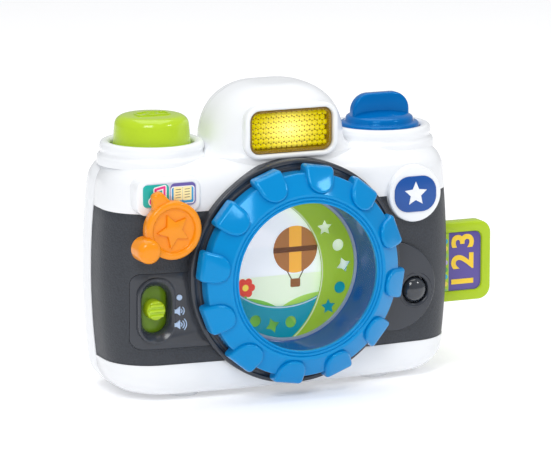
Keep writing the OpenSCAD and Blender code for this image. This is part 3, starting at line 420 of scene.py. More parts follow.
    @staticmethod
    def place(obj: Object, at: Sequence[float], facing: Facing = Facing.UP, turn: float = 0.0) -> Object:
        """Turns and moves a piece, then applies that to its mesh.

        Args:
            obj: the piece.
            at: where its origin goes.
            facing: which way its z axis points.
            turn: degrees about its own z axis first.
        Returns:
            The same piece.
        """
        for angles, spot in (((0.0, 0.0, math.radians(turn)), (0, 0, 0)), (facing.value, at)):
            Bench.pick(obj)
            obj.rotation_euler = angles
            obj.location = Vector(spot) * MM
            bpy.ops.object.transform_apply(location=True, rotation=True, scale=True)
        return obj

    @staticmethod
    def front(obj: Object, spot: Point) -> Object:
        """Sets a piece on the camera's front."""
        return Bench.place(obj, (spot[0], 0, spot[1]), Facing.FRONT)

    @staticmethod
    def twin(obj: Object, name: str) -> Object:
        """Copies a piece with a mesh of its own.

        Args:
            obj: the piece.
            name: the copy's name.
        Returns:
            The copy.
        """
        Bench.pick(obj)
        bpy.ops.object.duplicate(linked=False)
        return Bench.name(bpy.context.object, name)

    @staticmethod
    def join(first: Object, *others: Object) -> Object:
        """Joins pieces into the first one.

        Args:
            first: the piece that takes in the others.
            others: the pieces that are used up.
        Returns:
            The first piece.
        """
        Bench.pick(first, *others)
        bpy.ops.object.join()
        return first

    @staticmethod
    def modify(obj: Object, kind: str, **settings: object) -> Object:
        """Adds a modifier, sets it and applies it.

        Args:
            obj: the piece.
            kind: the modifier's type name.
            settings: the modifier's own properties.
        Returns:
            The same piece.
        """
        Bench.pick(obj)
        bpy.ops.object.modifier_add(type=kind)
        modifier = obj.modifiers[-1]
        for key, value in settings.items():
            setattr(modifier, key, value)
        bpy.ops.object.modifier_apply(modifier=modifier.name)
        return obj

    @staticmethod
    def work(obj: Object, tool: Object, cut: Cut = Cut.TAKE) -> Object:
        """Cuts, adds or intersects with another solid, which is used up.

        Args:
            obj: the piece.
            tool: the solid that works on it.
            cut: what it does.
        Returns:
            The same piece.
        """
        Bench.modify(obj, "BOOLEAN", operation=cut.value, object=tool, solver="EXACT")
        Bench.drop(tool)
        if not obj.data.polygons:
            raise ValueError(f"nothing is left of {obj.name}")
        return obj

    @staticmethod
    def soften(obj: Object, edge: Edge) -> Object:
        """Bevels the sharp edges of a piece.

        Args:
            obj: the piece.
            edge: how they are bevelled.
        Returns:
            The same piece.
        """
        return Bench.modify(
            obj, "BEVEL", width=edge.width * MM, segments=edge.steps, limit_method="ANGLE",
            angle_limit=math.radians(edge.angle), use_clamp_overlap=True,
        )

    @staticmethod
    def smooth(obj: Object, angle: float = 33.0) -> None:
        """Shades a piece smooth except at its sharp edges."""
        Bench.pick(obj)
        bpy.ops.object.shade_smooth_by_angle(angle=math.radians(angle))


class Signal:
    """A shader socket that takes part in Python arithmetic."""

    def __init__(self, out: bpy.types.NodeSocket) -> None:
        """Wraps a node's output."""
        self.out = out
        self.tree = out.id_data

    @staticmethod
    def feed(socket: bpy.types.NodeSocket, value: object) -> None:
        """Links a signal to a socket, or sets a constant on it.

        Args:
            socket: the input.
            value: a signal, a number or a colour.
        """
        if isinstance(value, Signal):
            value.tree.links.new(value.out, socket)
        else:
            socket.default_value = value

    @staticmethod
    def make(tree: Tree, kind: str, inputs: dict, out: int | str = 0, **settings: object) -> "Signal":
        """Adds a node to a tree.

        Args:
            tree: the tree that takes the node.
            kind: the node's type name.
            inputs: what goes to which input, by name or number.
            out: number or name of the output to use.
            settings: the node's own properties.
        Returns:
            The chosen output.
        """
        node = tree.nodes.new(kind)
        for key, value in settings.items():
            setattr(node, key, value)
        for key, value in inputs.items():
            Signal.feed(node.inputs[key], value)
        return Signal(node.outputs[out])

    def node(self, kind: str, inputs: dict, out: int | str = 0, **settings: object) -> "Signal":
        """Adds a node to this signal's tree, as make does."""
        return Signal.make(self.tree, kind, inputs, out, **settings)

    def pair(self, operation: str, left: object, right: object) -> "Signal":
        """Works on two values by what they are: colours, vectors or numbers.

        Args:
            operation: the nodes' name for it.
            left, right: signals or constants, in order.
        Returns:
            The result.
        """
        kinds = {side.out.type for side in (left, right) if isinstance(side, Signal)}
        if "RGBA" in kinds:
            return self.mix(1.0, left, right, operation)
        kind = "ShaderNodeVectorMath" if "VECTOR" in kinds else "ShaderNodeMath"
        return self.node(kind, {0: left, 1: right}, operation=operation)

    def mix(self, share: object, low: object, high: object, kind: str = "MIX") -> "Signal":
        """Mixes colours: the node's inputs 6 and 7 take them, and its output 2 gives one."""
        inputs = {0: share, 6: low, 7: high}
        return self.node("ShaderNodeMix", inputs, 2, data_type="RGBA", blend_type=kind)

    def __add__(self, other: object) -> "Signal":
        """This plus another."""
        return self.pair("ADD", self, other)

    def __radd__(self, other: object) -> "Signal":
        """Another plus this."""
        return self.pair("ADD", other, self)

    def __sub__(self, other: object) -> "Signal":
        """This less another."""
        return self.pair("SUBTRACT", self, other)

    def __rsub__(self, other: object) -> "Signal":
        """Another less this."""
        return self.pair("SUBTRACT", other, self)

    def __mul__(self, other: object) -> "Signal":
        """This times another."""
        return self.pair("MULTIPLY", self, other)

    def __rmul__(self, other: object) -> "Signal":
        """Another times this."""
        return self.pair("MULTIPLY", other, self)

    def __truediv__(self, other: object) -> "Signal":
        """This over another."""
        return self.pair("DIVIDE", self, other)

    def __rtruediv__(self, other: object) -> "Signal":
        """Another over this."""
        return self.pair("DIVIDE", other, self)

    def __abs__(self) -> "Signal":
        """The value without its sign."""
        return self.node("ShaderNodeMath", {0: self}, operation="ABSOLUTE")

    def least(self, other: object) -> "Signal":
        """The smaller of two numbers."""
        return self.pair("MINIMUM", self, other)

    def most(self, other: object) -> "Signal":
        """The larger of two numbers."""
        return self.pair("MAXIMUM", self, other)

    def root(self) -> "Signal":
        """The square root."""
        return self.node("ShaderNodeMath", {0: self}, operation="SQRT")

    def share(self) -> "Signal":
        """Held between 0 and 1."""
        return self.node("ShaderNodeClamp", {0: self})

    def part(self, axis: int) -> "Signal":
        """One axis of a vector."""
        return self.node("ShaderNodeSeparateXYZ", {0: self}, axis)

    def blend(self, low: object, high: object) -> "Signal":
        """Mixes two colours, with this signal as the share of the second."""
        return self.mix(self, low, high)


@dataclass(frozen=True)
class Drawing:
    """A flat drawing plane of two signals in mm, with distances to shapes on it."""

    u: Signal
    v: Signal

    @staticmethod
    def union(shapes: Iterable[Signal]) -> Signal:
        """Distance to the nearest of some shapes."""
        return reduce(Signal.least, shapes)

    @staticmethod
    def length(du: Signal, dv: Signal) -> Signal:
        """Length of a step on the plane."""
        return (du * du + dv * dv).root()

    def disc(self, x: float, y: float, radius: float) -> Signal:
        """Distance to a disc, below 0 inside it."""
        return self.length(self.u - x, self.v - y) - radius

    def box(self, x: float, y: float, width: float, height: float, radius: float) -> Signal:
        """Distance to a rounded rectangle.

        Args:
            x, y: its middle.
            width, height, radius: its size and corner radius.
        Returns:
            The distance, below 0 inside it.
        """
        du = (abs(self.u - x) - (width / 2 - radius)).most(0.0)
        dv = (abs(self.v - y) - (height / 2 - radius)).most(0.0)
        return self.length(du, dv) - radius

    def line(self, start: Point, end: Point, width: float) -> Signal:
        """Distance to a straight stroke with round ends.

        Args:
            start, end: its two ends.
            width: its thickness.
        Returns:
            The distance, below 0 inside it.
        """
        (x0, y0), (x1, y1) = start, end
        run = (x1 - x0) ** 2 + (y1 - y0) ** 2
        along = (((self.u - x0) * (x1 - x0) + (self.v - y0) * (y1 - y0)) / run).share()
        du, dv = self.u - x0 - along * (x1 - x0), self.v - y0 - along * (y1 - y0)
        return self.length(du, dv) - width / 2


Layers = list[tuple[Signal, Colour]]


@dataclass(frozen=True)
class Finish:
    """A moulded plastic finish: colour, gloss and the small unevenness of a moulding.

    Each kind of finish changes base(), relief() or surface(). The scales are in features per metre.
    """

    name: str
    slot: str
    colour_at: Colour
    roughness: float = 0.28
    coat: float = 0.15
    mottle: float = 0.05
    grain: float = 0.02
    metallic: float = 0.0
    specular: float = 0.5
    # glow sends out the base colour as emission: painted glow on the barrel, the picture and the masks, which
    # are no lamps; on the floor it keeps the floor evenly bright.
    glow: float = 0.0
    sheen: Colour = (1.0, 1.0, 1.0)
    coat_rough: float = 0.08
    gloss_scale: float = 60.0
    gloss_range: float = 0.12
    mottle_scale: float = 22.0
    grain_scale: float = 900.0
    grain_height: float = 0.2
    grain_detail: float = 2.0

    def build(self) -> bpy.types.Material:
        """Makes the material, once.

        Returns:
            A procedural material on object coordinates.
        """
        ready = bpy.data.materials.get(self.name)
        if ready:
            return ready
        material = bpy.data.materials.new(self.name)
        material.use_nodes = True
        tree = material.node_tree
        shader = tree.nodes["Principled BSDF"]
        place = Signal.make(tree, "ShaderNodeTexCoord", {}, "Object")
        paint = self.colour(place)
        settings = {
            "Base Color": paint, "Roughness": self.gloss(place), "Normal": self.relief(place),
            "Metallic": self.metallic, "Coat Weight": self.coat, "Coat Roughness": self.coat_rough,
            "Specular IOR Level": self.specular, "Specular Tint": (*self.sheen, 1.0),
        }
        # Emission in the base colour: painted glow, except on the floor, where it keeps the floor evenly
        # bright.
        if self.glow:
            settings |= {"Emission Color": paint, "Emission Strength": self.glow}
        for key, value in settings.items():
            Signal.feed(shader.inputs[key], value)
        self.surface(tree, shader, place)
        return material

    def noise(self, place: Signal, scale: float, detail: float = 3.0) -> Signal:
        """Soft noise from 0 to 1."""
        return place.node("ShaderNodeTexNoise", {"Vector": place, "Scale": scale, "Detail": detail})

    def bump(self, height: Signal, strength: float, distance: float) -> Signal:
        """A normal from a height, with its reach in mm."""
        inputs = {"Strength": strength, "Distance": distance * MM, "Height": height}
        return height.node("ShaderNodeBump", inputs)

    def gloss(self, place: Signal) -> Signal:
        """How the roughness varies."""
        swing = self.noise(place, self.gloss_scale) * self.gloss_range
        return swing + (self.roughness - self.gloss_range / 2)

    def base(self, place: Signal) -> Signal | tuple:
        """The colour before the mottling."""
        return (*self.colour_at, 1.0)

    def colour(self, place: Signal) -> Signal:
        """The base colour with a slight unevenness.

        Args:
            place: object coordinates.
        Returns:
            The colour.
        """
        tone = self.noise(place, self.mottle_scale) * self.mottle + (1.0 - self.mottle / 2)
        grey = place.node("ShaderNodeCombineColor", {0: tone, 1: tone, 2: tone})
        return grey * self.base(place)

    def relief(self, place: Signal) -> Signal:
        """The fine waviness of the moulded face."""
        wave = self.noise(place, self.grain_scale, self.grain_detail)
        return self.bump(wave, self.grain, self.grain_height)

    def surface(self, tree: Tree, shader: bpy.types.Node, place: Signal) -> None:
        """Room for a finish that needs more than the plain shader."""


@dataclass(frozen=True)
class Pebbled(Finish):
    """Moulded leather grain, with a painted highlight on each pebble and painted shade between the pebbles.
    """

    pitch: float = 0.75
    depth: float = 0.5
    height: float = 0.3
    scatter: float = 0.9
    # Shares of the grip colour: the painted highlight on each pebble and the painted shade between pebbles.
    painted_highlight_share: float = 1.22
    painted_shade_share: float = 0.62

    def cells(self, place: Signal) -> Signal:
        """Distance from the middle of each pebble, 0 to about 1."""
        inputs = {"Vector": place, "Scale": 1.0 / (self.pitch * MM), "Randomness": self.scatter}
        return place.node("ShaderNodeTexVoronoi", inputs, feature="SMOOTH_F1")

    def base(self, place: Signal) -> Signal:
        """Fades from a painted highlight in the middle of each pebble to painted shade at its edge."""
        bright, dark = (tuple(s * c for c in self.colour_at) for s in (self.painted_highlight_share, self.painted_shade_share))
        return self.cells(place).blend((*bright, 1.0), (*dark, 1.0))

    def relief(self, place: Signal) -> Signal:
        """Rounded pebbles."""
        return self.bump(1.0 - self.cells(place), self.depth, self.height)


@dataclass(frozen=True)
class Clear(Finish):
    """Clear plastic: seen through, with reflections that grow toward its edges."""

    body: float = 0.0
    rim: float = 0.12
    rim_share: float = 0.35
    haze: float = 0.02
    haze_scale: float = 30.0

    def surface(self, tree: Tree, shader: bpy.types.Node, place: Signal) -> None:
        """Mixes the plain shader with see-through by the angle of view.

        Args:
            tree: the material's nodes.
            shader: its plain shader.
            place: object coordinates.
        """
        rim = Signal.make(tree, "ShaderNodeLayerWeight", {"Blend": self.rim})
        share = (rim * self.rim_share + self.noise(place, self.haze_scale) * self.haze + self.body).share()
        see = Signal.make(tree, "ShaderNodeBsdfTransparent", {})
        mixed = see.node("ShaderNodeMixShader", {0: share, 1: see, 2: Signal(shader.outputs[0])})
        Signal.feed(tree.nodes["Material Output"].inputs["Surface"], mixed)


@dataclass(frozen=True)
class PaintedGlow(Finish):
    """Flash prisms with a painted glow near their middle: they give off light though no lamp is behind them.
    """

    reach: float = 19.0
    squeeze: float = 2.2
    power: float = 1.0
    # Colours of the painted glow, at its edge and at its middle.
    dim: Colour = (0.16, 0.14, 0.0)
    bright: Colour = (1.0, 0.97, 0.45)

    def surface(self, tree: Tree, shader: bpy.types.Node, place: Signal) -> None:
        """Adds a painted glow that fades from the middle outward.

        Args:
            tree: the material's nodes, not used.
            shader: its plain shader.
            place: object coordinates.
        """
        u, v = (place.part(axis) / MM - middle for axis, middle in zip((0, 2), SPOT.flash))
        near = (1.0 - (u * u + v * v * self.squeeze).root() / self.reach).share()
        light = (near * near).blend((*self.dim, 1.0), (*self.bright, 1.0))
        Signal.feed(shader.inputs["Emission Color"], light)
        Signal.feed(shader.inputs["Emission Strength"], self.power)


@dataclass(frozen=True)
class Print(Finish):
    """A flat print, drawn in the piece's front plane about its centre."""

    centre: Point = (0.0, 0.0)
    soft: float = 0.12

    def base(self, place: Signal) -> Signal:
        """Draws the layers one over another.

        Args:
            place: object coordinates.
        Returns:
            The printed colour.
        """
        plane = Drawing(*(place.part(axis) / MM - middle for axis, middle in zip((0, 2), self.centre)))
        paint: Signal | tuple = (*self.colour_at, 1.0)
        for distance, colour in self.layers(plane):
            paint = (0.5 - distance / self.soft).share().blend(paint, (*colour, 1.0))
        return paint

    def layers(self, plane: Drawing) -> Layers:
        """Distances and colours of the print's shapes, from the back."""
        raise NotImplementedError


@dataclass(frozen=True)
class IconLabel(Print):
    """Two-colour label with a music note and an open book."""

    head_r: float = 1.75
    heads: tuple[Point, ...] = ((-8.6, -2.6), (-4.1, -1.5))
    stem_w: float = 1.1
    stems: tuple[tuple[Point, Point], ...] = (
        ((-7.2, -2.4), (-7.2, 3.0)), ((-2.7, -1.4), (-2.7, 3.9)), ((-7.2, 3.0), (-2.7, 3.9)),
    )
    rows: tuple[float, ...] = (2.2, 0.9, -0.4, -1.7)
    row_starts: tuple[float, ...] = (3.0, 7.6)
    row_len: float = 2.4
    row_rise: float = 0.15
    row_w: float = 0.32
    bold_w: float = 0.35
    note_edge: float = 0.55
    book_edge: float = 0.5

    def text(self, plane: Drawing) -> Signal:
        """Rows of print on both pages, the first one a little bolder.

        Args:
            plane: the print's drawing plane.
        Returns:
            Distance to the rows.
        """
        x, y = self.row_starts[0], self.rows[0]
        shapes = [plane.line((x, y), (x + self.row_len, y), self.bold_w)]
        for x in self.row_starts:
            for y in self.rows:
                shapes.append(plane.line((x, y), (x + self.row_len, y + self.row_rise), self.row_w))
        return plane.union(shapes)

    def layers(self, plane: Drawing) -> Layers:
        """A teal half, a purple half, and an outlined icon on each.

        Args:
            plane: the print's drawing plane.
        Returns:
            The label's shapes from the back.
        """
        white = srgb(250, 250, 252)
        heads = [plane.disc(x, y, self.head_r) for x, y in self.heads]
        note = plane.union(heads + [plane.line(*stem, self.stem_w) for stem in self.stems])
        cover = plane.box(6.5, -0.5, 11.0, 7.6, 0.9)
        pages = plane.union(plane.box(x, 0.2, 4.5, 6.6, 0.7) for x in (4.2, 8.8))
        return [
            (plane.box(-7.0, 0.0, 13.2, 10.8, 2.2), srgb(0, 176, 168)),
            (plane.box(6.7, 0.0, 12.8, 10.8, 2.2), srgb(104, 92, 168)),
            (note - self.note_edge, white), (note, srgb(236, 47, 146)),
            (cover - self.book_edge, white), (cover, srgb(40, 160, 222)), (pages, srgb(255, 243, 178)),
            (self.text(plane), srgb(120, 108, 90)),
        ]


@dataclass(frozen=True)
class HillPicture(Print):
    """A plain outdoor picture: sky, a cloud, hills, a balloon, a sun and a flower."""

    puffs: Profile = ((-20.0, 14.0, 4.2), (-14.5, 15.5, 5.2), (-9.0, 14.0, 3.8))
    balloon: Corner = (5.0, 8.0, 11.5)
    stripe: float = 3.2
    belt: float = 1.3
    ropes: tuple[tuple[Point, Point], ...] = (((0.5, -2.0), (3.2, -7.0)), ((9.5, -2.0), (6.8, -7.0)))
    rope_w: float = 0.6
    flower: Point = (-21.0, -9.0)
    petals: int = 6
    petal_r: float = 1.9
    petal_ring: float = 3.1
    eye_r: float = 1.6

    def blossom(self, plane: Drawing) -> Signal:
        """The flower's petals round its middle.

        Args:
            plane: the print's drawing plane.
        Returns:
            Distance to the petals.
        """
        x, y = self.flower
        spots = [(0.0, 0.0)] + ring_points(self.petal_ring, self.petals)
        return plane.union(plane.disc(x + dx, y + dy, self.petal_r) for dx, dy in spots)

    def layers(self, plane: Drawing) -> Layers:
        """The picture from the sky forward.

        Args:
            plane: the print's drawing plane.
        Returns:
            The picture's shapes from the back.
        """
        leaf = srgb(104, 176, 76)
        cloud = plane.union(plane.disc(*puff) for puff in self.puffs)
        ropes = plane.union(plane.line(*rope, self.rope_w) for rope in self.ropes)
        balloon = plane.disc(*self.balloon)
        stripe = balloon.most(abs(plane.u - self.balloon[0]) - self.stripe)
        belt = balloon.most(abs(plane.v - self.balloon[1]) - self.belt)
        return [
            (plane.box(0, -34, 120, 60, 1.0), srgb(226, 240, 214)),
            (cloud, srgb(250, 252, 255)),
            (plane.disc(-26, 27, 6.0), srgb(255, 206, 60)),
            (plane.disc(18, -52, 38), srgb(168, 208, 96)),
            (plane.disc(-24, -50, 36), srgb(126, 190, 82)),
            (ropes, srgb(90, 64, 44)),
            (plane.box(5, -8.5, 5.2, 4.2, 0.8), srgb(140, 92, 56)),
            (balloon, srgb(168, 112, 66)),
            (stripe, srgb(244, 178, 70)),
            (belt, srgb(104, 66, 44)),
            (plane.line((-21, -22), (-21, -12), 1.3), leaf),
            (plane.line((-26, -17), (-21, -20), 2.6), leaf),
            (self.blossom(plane), srgb(226, 74, 62)),
            (plane.disc(*self.flower, self.eye_r), srgb(255, 220, 90)),
        ]


@dataclass(frozen=True)
class NumberCard(Print):
    """Purple card beside a lime strip of coloured dots."""

    columns: tuple[float, ...] = (-11.6, -8.9)
    rows: int = 8
    top: float = 12.4
    pitch: float = 3.6
    dot_r: float = 1.25
    shades: tuple[Colour, ...] = (
        srgb(196, 184, 230), srgb(96, 182, 92), srgb(60, 190, 214), srgb(250, 226, 92), srgb(146, 206, 120),
    )

    def layers(self, plane: Drawing) -> Layers:
        """The strip and its dots, the second column half a pitch lower.

        Args:
            plane: the print's drawing plane.
        Returns:
            The card's shapes from the back.
        """
        shapes = [(plane.box(-12.9, 0.0, 11.4, 60.0, 0.1), srgb(178, 212, 40))]
        for column, x in enumerate(self.columns):
            for row in range(self.rows):
                y = self.top - self.pitch * row - self.pitch / 2 * column
                shade = self.shades[(row + 2 * column) % len(self.shades)]
                shapes.append((plane.disc(x, y, self.dot_r), shade))
        return shapes


@dataclass(frozen=True)
class MaskPrint(Print):
    """Crescent sheet with a pale line along its inner edge."""

    inner: Corner = (0.0, 0.0, 40.0)
    line_in: float = 0.5
    line_w: float = 0.6
    pale_share: float = 0.45

    def layers(self, plane: Drawing) -> Layers:
        """The pale edge line."""
        pale = tuple(self.pale_share + (1 - self.pale_share) * c for c in self.colour_at)
        return [(abs(plane.disc(*self.inner) - self.line_in) - self.line_w / 2, pale)]


BLUE_SHEEN = (0.15, 0.65, 1.0)
DIAL_SHEEN = (0.1, 0.6, 1.0)
BADGE_SHEEN = (0.2, 0.6, 1.0)


@dataclass(frozen=True)
class Paint:
    """The finishes of the camera, by use."""

    white: Finish = Finish("white_plastic", "white_body", srgb(243, 245, 248), 0.24, 0.2, 0.025)
    # The grip's colour carries a painted highlight on each pebble and painted shade between the pebbles.
    grip: Finish = Pebbled("pebbled_grip", "dark_grip", srgb(52, 56, 63), 0.46, 0.0, 0.06, specular=0.45)
    smooth: Finish = Finish("smooth_dark", "dark_grip", srgb(52, 56, 64), 0.24, 0.1, 0.05, 0.03)
    gloss: Finish = Finish("gloss_dark", "dark_grip", srgb(48, 52, 59), 0.1, 0.5, 0.05, 0.0)
    ring: Finish = Finish(
        "blue_ring", "blue", srgb(0, 136, 204), 0.12, 0.2, 0.05, specular=0.6, sheen=BLUE_SHEEN
    )
    dial: Finish = Finish(
        "blue_dial", "blue", srgb(0, 104, 178), 0.13, 0.06, 0.05, specular=0.4, sheen=DIAL_SHEEN
    )
    badge: Finish = Finish(
        "badge_blue", "badge_blue", srgb(0, 82, 150), 0.16, 0.08, 0.05, specular=0.3, sheen=BADGE_SHEEN
    )
    green: Finish = Finish("green_button", "green", srgb(182, 213, 36), 0.15, 0.2, 0.04, specular=0.4)
    # The carriage's darker green is painted shade of the deep slot, laid over the knob's green plastic.
    carriage: Finish = Finish("green_with_painted_shade", "green", srgb(112, 148, 26), 0.3, 0.1, 0.04, specular=0.3)
    lime: Finish = Finish("lime_slide", "green", srgb(178, 208, 34), 0.24, 0.08, 0.04, specular=0.3)
    orange: Finish = Finish("orange_lever", "orange", srgb(245, 148, 14), 0.2, 0.1, 0.04, specular=0.35)
    # The barrel's glow is painted glow: it gives off its own blue though it is no lamp.
    smoke: Finish = Finish("smoky_barrel", "smoke", srgb(14, 72, 144), 0.12, 0.3, 0.08, glow=0.2)
    rim: Finish = Finish("pale_rim", "smoke", srgb(150, 168, 190), 0.22, 0.3, 0.05)
    window: Finish = Clear("clear_window", "clear", (0.3, 0.34, 0.4), 0.04, 0.0, 0.02)
    amber: Finish = Clear("amber_cover", "amber_clear", srgb(255, 214, 20), 0.06, 0.0, 0.03, body=0.04)
    border: Finish = Finish("amber_border", "amber_clear", srgb(128, 98, 12), 0.2, 0.3, 0.08)
    # The prisms carry a painted glow at the flash's middle, with no lamp behind them.
    prisms: Finish = PaintedGlow("flash_prisms", "amber_clear", srgb(226, 214, 0), 0.12, 0.3, 0.05)
    icons: Finish = Finish("pale_icons", "label_print", srgb(180, 203, 232), 0.35, 0.05, 0.04)
    label: Finish = IconLabel(
        "icon_label", "label_print", srgb(206, 211, 224), 0.3, 0.1, 0.02, centre=SPOT.label
    )
    card: Finish = NumberCard(
        "number_card", "card_print", srgb(92, 78, 160), 0.35, 0.1, 0.02, centre=SPOT.card
    )
    numbers: Finish = Finish("card_numbers", "card_print", srgb(255, 214, 50), 0.35, 0.1, 0.04)
    # The picture's glow is painted light: the print gives off its own light though it is no lamp.
    picture: Finish = HillPicture(
        "hill_picture", "picture_print", srgb(240, 245, 249), 0.4, 0.0, 0.03, specular=0.15, glow=0.34,
        centre=SPOT.lens, soft=0.3,
    )
    # The lime mask's glow is painted light: it gives off its own colour though it is no lamp.
    lime_mask: Finish = MaskPrint(
        "lime_mask", "mask_print", srgb(152, 190, 50), 0.25, 0.05, 0.05, specular=0.2, glow=0.22,
        centre=SPOT.lens, inner=SPOT.lime_bite,
    )
    # The teal mask's glow is painted light: it gives off its own colour though it is no lamp.
    teal_mask: Finish = MaskPrint(
        "teal_mask", "mask_print", srgb(0, 146, 168), 0.25, 0.05, 0.05, specular=0.2, glow=0.22,
        centre=SPOT.lens, inner=SPOT.teal_bite,
    )
    steel: Finish = Finish("plated_steel", "steel", (0.62, 0.62, 0.64), 0.3, 0.0, 0.1, 0.06, metallic=1.0)


PAINT = Paint()


@dataclass(frozen=True)
class Piece:
    """A modelled piece with its finish, the CAD node it stands for and the body it moves with."""

    obj: Object
    finish: Finish
    node: str = ""
    body: Body = Body.CAMERA

    def dress(self) -> None:
        """Shades the piece smooth, gives it its material and body, and hides the CAD node that it stands for,
        if any.
        """
        Bench.smooth(self.obj)
        self.obj.data.materials.clear()
        self.obj.data.materials.append(self.finish.build())
        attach(self.obj, self.body.value)
        if self.node:
            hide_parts(self.node)


class Assembly:
    """A group of pieces that is built and then dressed."""

    def build(self) -> list[Piece]:
        """Models the pieces in place, without materials."""
        raise NotImplementedError

    def dress(self, pieces: Sequence[Piece]) -> None:
        """Finishes the pieces that build made."""
        for piece in pieces:
            piece.dress()


@dataclass(frozen=True)
class BodyForm:
    """The camera's main body as a stack of rounded outlines."""

    half_w: float = 90.5
    half_d: float = 34.0
    base: float = 2.3
    deck: float = 115.5
    low_r: float = 13.0
    high_r: float = 12.0
    base_edge: float = 10.5
    deck_edge: float = 13.0
    side_bulge: float = 340.0
    front_bulge: float = 1000.0
    corner: float = 23.0
    rear_corner: float = 21.0
    corner_steps: int = 16
    crown_share: float = 0.44
    crown_steps: int = 6
    edge_steps: int = 10
    side_steps: int = 12

    @staticmethod
    def fall(radius: float, depth: float) -> float:
        """How far a rounded edge has fallen back at a depth into it."""
        depth = min(max(depth, 0.0), radius)
        return radius - math.sqrt(max(radius**2 - depth**2, 0.0))

    def outline(self, inset: float) -> list[Point]:
        """Plan outline with crowned front and back.

        Args:
            inset: how far it is drawn in.
        Returns:
            The outline's points.
        """
        w, d = self.half_w - inset, self.half_d - inset
        front, rear = self.corner - inset, self.rear_corner - inset
        steps = self.crown_steps
        xs = [w * self.crown_share * k / steps for k in range(-steps, steps + 1)]
        crown = [(x, -d + x * x / (2 * self.front_bulge), 0.0) for x in xs]
        edge = d - w * w / (2 * self.front_bulge)
        right = [(w, -edge, front), (w, edge, rear)]
        left = [(-w, edge, rear), (-w, -edge, front)]
        back = [(-x, -y, 0.0) for x, y, _ in crown]
        return rounded(crown + right + back + left, True, self.corner_steps)

    def levels(self, inset: float) -> list[Corner]:
        """The outline's size from the base to the deck.

        Args:
            inset: how far the form is drawn in.
        Returns:
            Heights with the shares of width and depth that are left there.
        """
        w, d = self.half_w - inset, self.half_d - inset
        low, high = self.base + inset, self.deck - inset
        turns = quarter(self.edge_steps)
        lows = [low + self.low_r * (1 - math.cos(a)) for a in turns]
        highs = [high - self.deck_edge * (1 - math.cos(a)) for a in reversed(turns)]
        rise = highs[0] - lows[-1]
        middle = [lows[-1] + rise * k / self.side_steps for k in range(1, self.side_steps)]
        levels = []
        for z in lows + middle + highs:
            belly = (z - (low + high) / 2) ** 2 / (2 * self.side_bulge)
            x = w - belly - self.fall(self.low_r, low + self.low_r - z)
            x -= self.fall(self.high_r, z - high + self.high_r)
            y = d - self.fall(self.base_edge, low + self.base_edge - z)
            y -= self.fall(self.deck_edge, z - high + self.deck_edge)
            levels.append((z, x / w, y / d))
        return levels

    def build(self, name: str, inset: float = 0.0) -> Object:
        """Lofts the body, drawn in by an inset."""
        return Bench.loft(name, self.outline(inset), self.levels(inset))


@dataclass(frozen=True)
class HumpForm:
    """The viewfinder hump with its flared foot."""

    half_w: float = 35.0
    front: float = 30.0
    back: float = 17.0
    low: float = 98.0
    deck: float = BodyForm.deck
    sunk: float = 6.0
    top: float = 148.3
    shoulder: float = 27.0
    foot: float = 7.0
    edge: float = 14.0
    front_r: float = 23.0
    back_r: float = 17.0
    corner_steps: int = 10
    foot_steps: int = 9
    head_steps: int = 12
    least_rise: float = 0.5

    def build(self, name: str, inset: float = 0.0) -> Object:
        """Lofts the hump.

        Args:
            name: the piece's name.
            inset: how far it is drawn in.
        Returns:
            The solid in place.
        """
        top, w, d = self.top - inset, self.half_w - inset, (self.front + self.back) / 2 - inset
        feet = [self.deck + self.foot * (1 - math.cos(a)) for a in quarter(self.foot_steps)]
        heads = [top - self.shoulder + self.shoulder * math.sin(a) for a in quarter(self.head_steps)]
        heads = [z for z in heads if z > feet[-1] + self.least_rise]
        levels = []
        for z in [self.low, self.deck - self.sunk] + feet + heads:
            flare = BodyForm.fall(self.foot, self.deck + self.foot - z)
            x = w + flare - BodyForm.fall(self.shoulder, z - top + self.shoulder)
            y = d - BodyForm.fall(self.edge, z - top + self.edge)
            levels.append((z, x / w, y / d))
        front, back = self.front_r - inset, self.back_r - inset
        corners = [(-w, -d, front), (w, -d, front), (w, d, back), (-w, d, back)]
        hump = Bench.loft(name, rounded(corners, True, self.corner_steps), levels)
        return Bench.place(hump, (0, (self.back - self.front) / 2, 0))


@dataclass(frozen=True)
class GripForm:
    """The band round the body that the grips lie in."""

    form: BodyForm
    low: float = 19.0
    high: float = 92.5
    thick: float = 1.6
    sunk: float = 0.35

    def slab(self, gap: float) -> Object:
        """The band's height, from the parting plane forward, less a gap."""
        high = (REACH, SPOT.split_y - gap, self.high - gap)
        return Bench.block("band", (-REACH, -REACH, self.low + gap), high)

    def core(self, slack: float) -> Object:
        """What lies behind the grips, larger by some slack."""
        return self.form.build("core", self.thick + self.sunk - slack)


